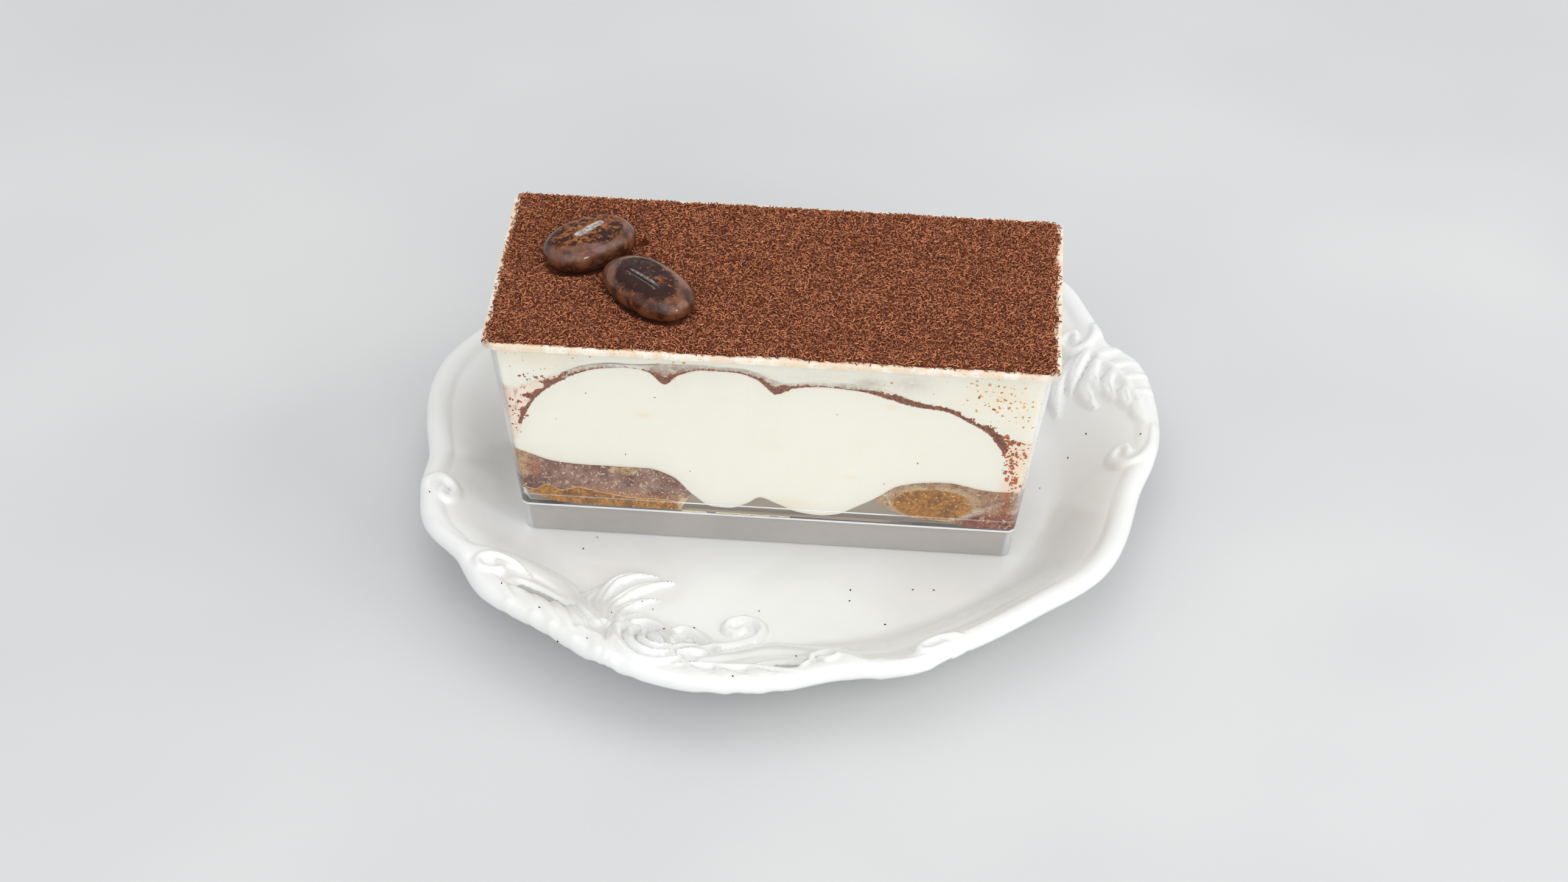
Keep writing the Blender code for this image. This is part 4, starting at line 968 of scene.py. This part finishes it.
def paint_over_line(points, shares):
    """Colours of everything that shows above the lower cream: cocoa line, smears and the upper cream."""
    x, z, depth = points[:, 0], points[:, 2], shares[:, 1]
    rough = clouds(points, 1.0, 11)
    level = lower_cream_top(x, depth)
    slope = slope_of(lower_cream_top, x, depth)
    away = (z - level) / np.sqrt(1 + slope**2)
    under = z - upper_cream_under(x, depth)
    left_wedge = ramp(-47, -50, x) * ramp(0.2, -0.3, under)
    right_wedge = ramp(52.4, 53.6, x) * ramp(0.2, -0.3, under)

    smear_top = curve_value(SMEAR_TOP, x) + 0.2 * clouds(points, 4.0, 21)
    share = curve_value(SMEAR, x) * ramp(0.5, -0.3, z - smear_top) * ramp(-0.3, 0.1, z - level)
    fade = 0.6 + 0.4 * ramp(1.0, 0.0, (z - level) / np.maximum(smear_top - level, 0.6))
    smear = np.clip(share * fade, 0, 1)
    for *place, strength in HAZE:
        smear = np.maximum(smear, strength * spot(x, z, *place))

    edge = near(z - smear_top, 0.22) * ramp(-47, -43, x) * ramp(0, -5, x)
    edge = 0.8 * edge * ramp(-0.5, 0.3, clouds(points, 6.0, 41)) * (0.4 + 0.6 * ramp(-17, -22, x))
    # Greyer towards the box's left corner: painted shade.
    painted_corner_shade = 0.7 * left_wedge * ramp(-58.0, -60.3, x) * ramp(33, 36, z) * (0.8 + 0.4 * rough)
    flecks = 0.6 * left_wedge * ramp(0.15, 0.45, clouds(points, 1.6, 61)) * ramp(29, 35, z)
    warm = spot(x, z, 50.5, 48.5, 7, 4.0) + 0.5 * spot(x, z, 57, 43, 4, 6.0)
    tint = painted(
        np.tile(CREAM, (len(x), 1)),
        (104, 80, 78, edge),
        (238, 222, 206, left_wedge),
        (190, 160, 148, painted_corner_shade),
        (172, 112, 88, flecks),
        (238, 222, 200, right_wedge),
        (236, 214, 176, 0.42 * warm * (0.7 + 0.8 * clouds(points, 3.0, 71))),
        (234, 216, 186, 0.45 * spot(x, z, -53, 53, 8, 3.4)),
    )

    clumps = (1.5 * noise(points, 1.5, 82) - 0.3) * ramp(-42, -46, x)
    thick = curve_value(LINE_THICK, x) * (1 + 0.3 * rough) + 0.25 * noise(points, 1.3, 81) + clumps
    thick = np.where(z < 33, thick - 2.4 * ramp(33.5, 29.0, z), thick)
    line = np.maximum(away - thick, -away - 0.1)
    bare = ramp(0.6, 1.2, z - level) * left_wedge * ramp(0.25, 0.05, np.abs(under + 0.9))
    left_strand = np.abs(under + 0.45) - 0.35 + 0.5 * (1 - bare)
    right_strand = np.abs(under + 0.4) - 0.3 + 0.35 * ramp(56.5, 59.5, x)
    line = np.where(x < -50, np.minimum(line, left_strand), line)
    line = np.where(x > 53, np.minimum(line, right_strand), line)
    return {"tint": tint, "smear": smear, "line": line}


def paint_lower_cream(points, shares):
    x, z, depth = points[:, 0], points[:, 2], shares[:, 1]
    low, high = z - lower_cream_under(x, depth), lower_cream_top(x, depth) - z
    stains = ((236, 212, 172, strength * spot(x, z, *place)) for *place, strength in STAINS)
    tint = painted(
        np.tile(CREAM, (len(x), 1)),
        *stains,
        (206, 192, 170, 0.5 * ramp(0.7, 0.0, low) * ramp(0.2, -0.2, depth - 0.1)),
        (214, 176, 150, 0.45 * ramp(0.4, 0.0, high) * ramp(-0.3, 0.5, clouds(points, 2.2, 101))),
        (240, 208, 180, 0.5 * ramp(52, 54.6, x) * ramp(24.5, 21.5, z)),
    )
    away = high / np.sqrt(1 + slope_of(lower_cream_top, x, depth) ** 2)
    thin = np.where(curve_value(LINE_THICK, x) < 0.6, 0.4, 0)
    line = away + 0.1 + thin + 2.4 * ramp(33.5, 29.0, z)
    return {"tint": tint, "smear": np.zeros(len(x)), "line": line}


WET_LINE = (
    (-62, 13.4), (-57.1, 12.9), (-55.6, 12.2), (-54, 11.9), (-52.6, 12.9), (-51, 13.6), (-49.4, 12.6),
    (-47.6, 12.0), (-45.8, 12.7), (-44, 13.2), (-41.6, 12.7), (-39, 12.1), (-35, 11.4), (-31, 10.8),
    (-27, 10.9), (-22.8, 10.7), (-18, 9.6),
)


def paint_left_finger(points, shares):
    x, z = points[:, 0], points[:, 2]
    blur, fine = clouds(points, 3.2, 111), clouds(points, 1.2, 121)
    over = z - curve_value(WET_LINE, x)
    tip = ramp(-21.4, -19.6, x) * ramp(12.6, 11.0, z)
    orange = near(x + 54.0 + 0.12 * (z - 18), 1.0) * near(z - 18.4, 2.6)
    blob = ramp(0.34, 0.5, spot(x, z, -33.6, 19.3, 3.4, 1.4) * (1 + 1.1 * fine))
    tint = painted(
        np.tile(colour(150, 116, 104), (len(x), 1)),
        (118, 82, 74, ramp(0.0, 0.6, blur) * 0.9),
        (116, 76, 68, 0.7 * ramp(17.6, 19.0, z + 0.8 * fine) * ramp(-52.5, -49, x)),
        (178, 148, 134, ramp(0.1, 0.6, -blur) * 0.7),
        (192, 156, 116, ramp(-54.0, -56.5, x + 1.4 * blur) * ramp(14.5, 17.0, z + fine)),
        (184, 122, 84, 0.8 * orange * (1 + 0.5 * fine)),
        (104, 68, 62, 0.85 * ramp(-48, -53, x + 2 * blur) * ramp(16.4, 15.0, z + 1.2 * fine)),
        (208, 182, 138, 0.9 * blob),
        (150, 108, 66, blob * ramp(0.0, 0.4, -fine) * 0.8),
        (188, 130, 82, 0.6 * ramp(2.6, 0.4, over) * ramp(-50, -36, x)),
        (232, 214, 168, 0.8 * tip),
    )
    return {"tint": tint, "wet": over + 6 * tip, "rim": np.full(len(x), 0.85)}


# The golden oval on the right finger, where it touches the wall: its middle and its half sizes
OVAL = (37.9, 14.3, 9.3, 4.7)


def paint_right_finger(points, shares):
    x, z = points[:, 0], points[:, 2]
    blur, fine = clouds(points, 3.0, 151), clouds(points, 1.1, 161)
    middle_x, middle_z, half_x, half_z = OVAL
    oval = np.hypot((x - middle_x) / half_x, (z - middle_z) / half_z)
    damp = ramp(12.5, 10.6, z - 0.12 * (x - 46) + fine) * ramp(42, 46, x)
    streak = near(z - (9.8 + 0.62 * (x - 43.9)) + 0.5 * blur, 0.8) * ramp(43, 45.5, x) * ramp(55, 53, x)
    end = ramp(55.6, 56.6, x) * ramp(59.6, 58.4, x) * ramp(12, 14, z) * ramp(-0.4, 0.1, blur)
    tint = painted(
        np.tile(colour(178, 146, 114), (len(x), 1)),
        (150, 114, 88, ramp(0.0, 0.6, blur)),
        (168, 128, 102, 0.8 * ramp(46, 50, x + blur)),
        (196, 170, 138, 0.6 * near(oval - 1.12, 0.12)),
        (176, 104, 60, 0.85 * near(x - 54.6 + 0.5 * blur, 0.7) * ramp(11, 13, z)),
        (146, 84, 60, damp),
        (108, 52, 40, damp * ramp(0.05, 0.4, fine)),
        (208, 192, 180, 0.8 * streak),
        (208, 196, 184, 0.75 * end),
    )
    return {"tint": tint, "wet": 0.4 * (oval - 1) * half_z, "rim": np.full(len(x), 0.2)}


def food():
    soft_cream, wet_sponge = cream(), sponge()

    def finger_top(x, depth):
        return lower_cream_under(x, depth) + 0.03

    layer("finger_left", (130, 46, 34), lambda x, depth: curve_value(LEFT_FINGER_UNDERSIDE, x) + 0.5 * depth,
          finger_top, paint_left_finger, wet_sponge, "sponge", "ladyfinger_left", right=LEFT_FINGER_END)
    layer("finger_right", (120, 46, 34), lambda x, depth: curve_value(RIGHT_FINGER_UNDERSIDE, x) - 0.1,
          finger_top, paint_right_finger, wet_sponge, "sponge", "ladyfinger_right", left=RIGHT_FINGER_START)
    layer("cream_low", (270, 40, 64), lower_cream_under, lower_cream_top, paint_lower_cream,
          soft_cream, "cream", "cream_lower")
    layer("cocoa_band", (300, 24, 26), lambda x, depth: lower_cream_top(x, depth) - 0.03,
          lambda x, depth: upper_cream_under(x, depth) + 0.03, paint_over_line,
          soft_cream, "cocoa", "cocoa_layer")
    layer("cream_high", (300, 40, 30), upper_cream_under, upper_cream_top, paint_over_line,
          soft_cream, "cream", "cream_upper")


# Cocoa on top

CELL, CRUMB_STEP = 0.42, 0.53
CRUMB_KINDS = (
    ("crumbs_light", (168, 105, 72), (214, 146, 106)),
    ("crumbs_mid", (138, 82, 58), (180, 116, 86)),
    ("crumbs_dark", (98, 53, 38), (142, 86, 62)),
)
CRUMB_POINTS, JITTER = 8, 0.32
BED_INSET = 1.3
PIT_X, PIT_Y, PIT_RADIUS, PIT_NARROW = -32.6, 11.6, 2.0, 0.75


def from_pit(x, y):
    """Distance from the middle of the small pit in the powder, as its wider way counts it."""
    return np.hypot((x - PIT_X) / PIT_NARROW, y - PIT_Y)


def bean_share(x, y):
    """How far each place is from the nearer bean's middle, 1 at the bean's outline."""
    nearest = np.full(np.shape(x), 9.0)
    for bean_x, bean_y, turn in BEANS:
        along, across = turned(x - bean_x, y - bean_y, -turn)
        nearest = np.minimum(nearest, np.hypot(along / (BEAN_LENGTH / 2), across / (BEAN_WIDTH / 2)))
    return nearest


def cocoa_height(x, y):
    """Height of the powder's bed above the box's foot."""
    place = np.column_stack([x, y])
    height = COCOA_LEVEL + 0.22 * noise(place, 0.5, 201) + 0.2 * noise(place, 1.1, 202)
    height += 0.22 * noise(place, 3.2, 203) + 0.18 * noise(place, 9.0, 204)
    share = bean_share(x, y)
    height -= 0.8 * ramp(1.12, 0.9, share)
    height += 0.25 * near(share - 1.2, 0.1)
    height -= 2.6 * ramp(1.05, 0.5, from_pit(x, y) / PIT_RADIUS)
    edge = np.minimum(RIM_LENGTH / 2 - np.abs(x), RIM_WIDTH / 2 - np.abs(y))
    return BOX_HEIGHT + 0.1 + (height - BOX_HEIGHT - 0.1) * ramp(0.4, 3.2, edge)


def ragged_inset(place, seed):
    """How far the powder stops short of the flange's edge at each place along it."""
    return 1.35 + 0.45 * noise(place[:, None], 5.0, seed) + 0.35 * noise(place[:, None], 1.4, seed + 1)


def ragged_insets(x, y):
    """That distance at the end and at the side nearest to each place."""
    return ragged_inset(y + 200 * np.sign(x), 211), ragged_inset(x + 300 * np.sign(y), 221)


def cocoa_bed(powder):
    counts = (int(RIM_LENGTH / CELL), int(RIM_WIDTH / CELL))
    u, v = np.meshgrid(np.linspace(-1, 1, counts[0]), np.linspace(-1, 1, counts[1]), indexing="ij")
    u, v = u.ravel(), v.ravel()
    side_x, side_y = ragged_insets(u * RIM_LENGTH / 2, v * RIM_WIDTH / 2)
    x, y = round_corner(u * (RIM_LENGTH / 2 - side_x), v * (RIM_WIDTH / 2 - side_y),
                        RIM_LENGTH / 2 - BED_INSET, RIM_WIDTH / 2 - BED_INSET, RIM_CORNER - BED_INSET)
    top = np.column_stack([x, y, cocoa_height(x, y)])
    grid = np.arange(len(top)).reshape(counts)
    quads = np.stack([grid[:-1, :-1], grid[1:, :-1], grid[1:, 1:], grid[:-1, 1:]], -1).reshape(-1, 4).tolist()
    edge = np.concatenate([grid[:-1, 0], grid[-1, :-1], grid[:0:-1, -1], grid[0, :0:-1]])
    skirt = top[edge] * (0.998, 0.998, 0) + (0, 0, BOX_HEIGHT - 0.25)
    under = len(top) + np.arange(len(edge))
    ring = np.column_stack([edge, under, np.roll(under, -1), np.roll(edge, -1)]).tolist()
    points = np.vstack([top, skirt])
    shade = 1 + 0.25 * noise(points[:, :2], 2.4, 231) + 0.2 * noise(points[:, :2], 0.7, 232)
    faces = quads + ring + [under[::-1].tolist()]
    tint = np.outer(shade, [1.0, 0.97, 0.95])
    new_piece("cocoa_bed", add_place(points), faces, powder, "cocoa", ("cocoa_top",), tint=tint)


def crumb_meshes(centre, axis, side, length, width, thick, bend):
    """Points and faces of bent crumbs, each a spindle with a three-sided middle."""
    normal = np.cross(axis, side)
    half = axis * length[:, None] / 2
    lift = normal * bend[:, None]
    points = [centre - half - lift]
    for shift in (-0.35, 0.35):
        for turn in (90, 210, 330):
            a = math.radians(turn)
            across = side * (width * math.cos(a) / 2)[:, None] + normal * (thick * math.sin(a) / 2)[:, None]
            points.append(centre + 2 * half * shift + lift * 0.6 + across)
    points.append(centre + half - lift)
    points = np.stack(points, axis=1)
    shape = [(0, 2, 1), (0, 3, 2), (0, 1, 3)]
    for i in range(3):
        j = (i + 1) % 3
        shape += [(1 + i, 1 + j, 4 + j), (1 + i, 4 + j, 4 + i)]
    shape += [(7, 4, 5), (7, 5, 6), (7, 6, 4)]
    faces = (np.array(shape)[None] + CRUMB_POINTS * np.arange(len(centre))[:, None, None]).reshape(-1, 3)
    return points.reshape(-1, 3), faces.tolist()


def crumb_piece(name, material, centre, axis, side, sizes, tone, *place):
    """Crumbs of these lengths, widths, thicknesses and bends, each in its own tone."""
    points, faces = crumb_meshes(centre, axis, side, *sizes)
    tint = np.repeat(tone, CRUMB_POINTS, axis=0)
    new_piece(name, add_place(points, *place), faces, material, "cocoa", smooth=False, tint=tint)


def random_axes(rng, count, tilt_low, tilt_high):
    turn = rng.uniform(0, 2 * math.pi, count)
    tilt = np.radians(rng.uniform(tilt_low, tilt_high, count))
    axis = np.column_stack([np.cos(turn) * np.cos(tilt), np.sin(turn) * np.cos(tilt), np.sin(tilt)])
    side = np.column_stack([-np.sin(turn), np.cos(turn), np.zeros(count)])
    return axis, side


def cocoa_crumbs():
    """Curled grains that cover the bed and fray its edge."""
    rng = np.random.default_rng(31)
    xs = np.arange(-RIM_LENGTH / 2 + 0.9, RIM_LENGTH / 2 - 0.8, CRUMB_STEP)
    ys = np.arange(-RIM_WIDTH / 2 + 0.9, RIM_WIDTH / 2 - 0.8, CRUMB_STEP)
    x, y = (side.ravel() for side in np.meshgrid(xs, ys, indexing="ij"))
    x = x + rng.uniform(-JITTER, JITTER, len(x))
    y = y + rng.uniform(-JITTER, JITTER, len(y))
    end, side = RIM_LENGTH / 2 - np.abs(x), RIM_WIDTH / 2 - np.abs(y)
    edge, stop = np.minimum(end, side), np.where(end < side, *ragged_insets(x, y))
    keep = (edge > stop - 0.1) | ((edge > stop - 1.0) & (rng.random(len(x)) < 0.42))
    keep &= (bean_share(x, y) > 0.9) & (from_pit(x, y) > PIT_RADIUS * 0.9)
    x, y, edge, stop = x[keep], y[keep], edge[keep], stop[keep]
    count = len(x)
    axis, side = random_axes(rng, count, -12, 50)
    z = np.where(edge > stop, cocoa_height(x, y) + 0.14, BOX_HEIGHT + 0.12)
    ranges = ((0.65, 1.35), (0.2, 0.36), (0.18, 0.3), (0.05, 0.24))
    sizes = [rng.uniform(low, high, count) for low, high in ranges]
    kind = rng.choice(3, count, p=(0.36, 0.34, 0.3))
    for number, (name, dark, pale) in enumerate(CRUMB_KINDS):
        chosen = kind == number
        tone = np.outer(rng.uniform(0.82, 1.28, chosen.sum()), [1.0, 1.0, 1.0])
        crumb_piece(name, cocoa(name, dark, pale), np.column_stack([x, y, z])[chosen], axis[chosen], side[chosen],
                    [size[chosen] for size in sizes], tone)


# Beans

# How full a bean's outline is from above and from the side
PLAN_FULL, SIDE_FULL = 0.88, 2.7
# Each slot's middle, its turn from the bean's long axis, and half its length and width
SLOTS = ((0.0, 0.0, 10.0, 5.3, 1.0), (0.9, -2.5, 1.5, 5.1, 0.5))
BEAN_TURNS, TOP_RINGS, UNDER_RINGS, POLE = 230, 84, 44, 0.012


def bean(number, x, y, turn, shell):
    """A plump bean with a broad flat top, its slot pressed in along the middle."""
    bean_long, bean_wide = VISIBLE_BEANS[number - 1]
    shares = np.concatenate([np.linspace(POLE, 1, UNDER_RINGS), np.linspace(1, POLE, TOP_RINGS)[1:]])
    sides = np.repeat([-1, 1], (UNDER_RINGS, TOP_RINGS - 1))
    reach = np.sin(shares * math.pi / 2)
    height = sides * np.sqrt(1 - reach**SIDE_FULL) * BEAN_HEIGHT / 2
    spin = np.radians(np.linspace(0, 360, BEAN_TURNS, endpoint=False))
    plan_x, plan_y = (
        np.sign(way) * np.abs(way) ** PLAN_FULL * size / 2
        for way, size in ((np.cos(spin), bean_long), (np.sin(spin), bean_wide))
    )
    px, py = np.outer(reach, plan_x).ravel(), np.outer(reach, plan_y).ravel()
    pz, reach = np.repeat(height, BEAN_TURNS), np.repeat(reach, BEAN_TURNS)
    ball = np.column_stack([px, py, pz]) + 40 * number
    swell = 1 + 0.012 * noise(ball, 7.0, 301) + 0.005 * noise(ball, 2.6, 302) - 0.008
    px, py, pz = px * swell, py * swell, pz * (1 + 0.01 * noise(ball, 5.0, 303))
    upper = pz > 0
    pz -= upper * 0.3 * np.exp(-((reach / 0.6) ** 4)) * (1 + 0.7 * noise(ball, 3.0, 304))

    slot_x, slot_y, slot_turn, half_length, half_width = SLOTS[number - 1]
    lx, ly = turned(px - slot_x, py - slot_y, -slot_turn)
    away = np.abs(ly - 0.15 * np.sin(lx / 2.6 + number))
    along = np.maximum(1 - (np.abs(lx) / half_length) ** 3, 0)
    groove_and_highlight = along * np.exp(-((away / half_width) ** 4))
    pz -= upper * 0.6 * groove_and_highlight
    worn_reach = np.hypot((px - 0.5 * slot_x) / (BEAN_LENGTH / 2), (py - 0.5 * slot_y) / (BEAN_WIDTH / 2))
    patch = upper * ramp(0.84, 0.7, worn_reach + 0.14 * clouds(ball, 3.0, 305))
    # pale is the painted highlight share, over the whole slot of bean 1 and along the two lips of bean 2's slot;
    # dark is painted shade inside bean 2's slot.
    if number == 1:
        pale = ramp(0.3, 0.6, groove_and_highlight)
        gild = 0.05 - 0.07 * ramp(0.8, 3.0, -ly) - 0.08 * ramp(-2, -7, lx) * ramp(-1.5, 1.5, ly)
    else:
        pale = 0.9 * along * near(away - 0.52, 0.2)
        gild = -0.12 + 0.17 * spot(lx, ly, 3.2, 2.4, 3.4, 1.9) + 0.1 * ramp(0.66, 0.82, worn_reach)
    dark = upper * groove_and_highlight * (number == 2)

    points = np.column_stack([px, py, pz])
    last = len(points) - BEAN_TURNS
    values = {"patch": patch, "groove_and_highlight": upper * pale, "gild": gild, "dark": dark}
    values = {key: np.append(value, [value[0], value[last]]) for key, value in values.items()}
    points = np.vstack([points, points[:BEAN_TURNS].mean(axis=0), points[last:].mean(axis=0)])
    faces = ring_faces(len(shares), BEAN_TURNS)
    faces += [[len(points) - 2, (i + 1) % BEAN_TURNS, i] for i in range(BEAN_TURNS)]
    faces += [[last + i, last + (i + 1) % BEAN_TURNS, len(points) - 1] for i in range(BEAN_TURNS)]
    px, py = turned(points[:, 0], points[:, 1], turn)
    placed = np.column_stack([x + px, y + py, points[:, 2] + COCOA_LEVEL - BEAN_SUNK + BEAN_HEIGHT / 2])
    new_piece(f"bean_shell_{number}", add_place(placed), faces, shell, "chocolate", (f"bean_{number}",), **values)


# Loose specks

# Groups of specks on the front wall: how many, middle along and up, reach both ways, length
SPECK_GROUPS = (
    (40, -57.8, 37.5, 1.6, 3.6, 0.35), (20, -58.0, 31.0, 1.1, 2.0, 0.22), (46, 54.9, 30.0, 0.7, 3.8, 0.5),
    (30, 57.6, 31.5, 1.2, 2.6, 0.4), (30, 56.2, 23.0, 0.7, 1.8, 0.45), (64, 50.5, 48.4, 4.0, 2.8, 0.34),
    (40, 56.5, 43.6, 2.6, 4.2, 0.24), (26, -50, 52.6, 7.0, 2.2, 0.2), (16, -25, 52.8, 5.0, 1.2, 0.3),
    (14, 28, 50.4, 4.5, 1.4, 0.24), (10, 0, 30.0, 30.0, 8.0, 0.13), (22, -53.5, 46.2, 2.4, 1.1, 0.3),
)
SINGLE_SPECKS = (
    (-32.9, 24.3, 0.4), (34.1, 26.8, 0.35), (15.3, 40.1, 0.3), (26.7, 19.9, 0.32), (-41.7, 42.2, 0.3),
    (-26, 42.1, 0.3),
)


def on_front_wall(x, z, inwards):
    """Points on the front wall, this far inwards from its outer face."""
    return np.column_stack([x, -(outer_half(z)[1] - inwards), z])


def wall_specks():
    """Cocoa that clings between the cream and the wall."""
    rng = np.random.default_rng(57)
    parts = []
    for count, middle_x, middle_z, reach_x, reach_z, length in SPECK_GROUPS:
        x, z = rng.normal(middle_x, reach_x, count), rng.normal(middle_z, reach_z, count)
        size = length * 0.4 * 5.5 ** rng.random(count)
        warm = (middle_x > 40 or middle_z > 50) & (rng.random(count) < 0.95)
        parts.append(np.column_stack([x, z, size, warm]))
    parts.append([(*single, 0) for single in SINGLE_SPECKS])
    x, z, size, warm = np.vstack(parts).T
    half_x, _ = outer_half(z)
    keep = (np.abs(x) < half_x - WALL - 0.3) & (z < 55.4)
    x, z, size, warm = x[keep], z[keep], size[keep], warm[keep] > 0
    count = len(x)
    turn = rng.uniform(0, math.pi, count)
    axis = np.column_stack([np.cos(turn), np.zeros(count), np.sin(turn)])
    side = np.column_stack([-np.sin(turn), np.zeros(count), np.cos(turn)])
    sizes = (size * 1.5, size * rng.uniform(0.6, 1.1, count), np.full(count, 0.1), 0.25 * size)
    tone = np.where(warm[:, None], colour(220, 164, 104), colour(152, 90, 64))
    tone = tone * rng.uniform(0.75, 1.3, count)[:, None]
    rust = colour(172, 94, 56) * rng.uniform(0.7, 1.5, count)[:, None]
    tone = np.where((warm & (z < 38))[:, None], rust, tone)
    centre = on_front_wall(x, z, WALL - PRESS)
    crumb_piece("wall_specks", painted_powder("wall_cocoa", 0.12), centre, axis, side, sizes, tone)


def syrup_line():
    """A dried line at the foot of the front wall under the cream, with bits of sponge beside it."""
    rng = np.random.default_rng(91)
    bits = 26
    x = np.concatenate([np.linspace(-19.5, -14.5, 14), np.linspace(-11.6, 4.8, 46), rng.uniform(-8, 3, bits)])
    z = 8.12 + 0.06 * np.sin(x / 1.9) + 0.04 * np.sin(x / 0.7)
    z[-bits:] = rng.uniform(7.95, 8.1, bits)
    count = len(x)
    axis, side = np.tile([1.0, 0.0, 0.0], (count, 1)), np.tile([0.0, 0.0, 1.0], (count, 1))
    length, width = np.full(count, 0.95), rng.uniform(0.35, 0.6, count)
    length[-bits:], width[-bits:] = 0.4, 0.25
    tone = np.tile(colour(238, 226, 184), (count, 1))
    tone[-bits:] = colour(112, 74, 46)
    sizes = (length, width, np.full(count, 0.12), np.zeros(count))
    dried = painted_powder("dried_syrup", 0.1)
    crumb_piece("floor_residue", dried, on_front_wall(x, z, 0.3), axis, side, sizes, tone)


PLATE_SPECKS = (
    (-60.0, -64.1), (-50.6, -71.7), (-35.4, -63.0), (-29.4, -53.6), (-26.8, -55.0), (-16.7, -63.0), (-16.1, -68.2),
    (-23.2, -66.6), (-45.2, -82.4), (-38.8, -81.6), (-45.1, -33.9), (-42.4, -29.2), (-15.8, -84.5), (-5.8, -92.0),
    (-81.1, -31.2), (26.1, -55.4), (17.6, -43.5), (31.9, -41.9), (36.7, -41.6), (17.6, -47.5), (7.1, -76.0),
    (-2.7, -53.3), (71.3, 18.2), (83.8, 9.6), (67.1, 11.8), (60.6, 0.6),
)


def plate_specks():
    rng = np.random.default_rng(77)
    x, y = np.array(PLATE_SPECKS).T
    z = plate_surface(np.degrees(np.arctan2(y, x)), np.hypot(x, y)) + 0.08
    axis, side = random_axes(rng, len(x), -5, 5)
    size = rng.uniform(0.35, 0.6, len(x))
    tone = colour(92, 58, 44) * rng.uniform(0.7, 1.5, len(x))[:, None]
    crumb_piece("plate_specks", painted_powder("loose_cocoa"), np.column_stack([x, y, z]), axis, side,
                (size, size * 0.7, size * 0.5, 0.1 * size), tone, PLATE_AT, 0)


def main():
    camera()
    studio()
    floor()
    plate()
    box()
    food()
    # The bed under the crumbs is dark: painted shade of the gaps between them.
    cocoa_bed(cocoa())
    cocoa_crumbs()
    shell = chocolate()
    for number, (x, y, turn) in enumerate(BEANS, start=1):
        bean(number, x, y, turn, shell)
    wall_specks()
    syrup_line()
    plate_specks()


main()
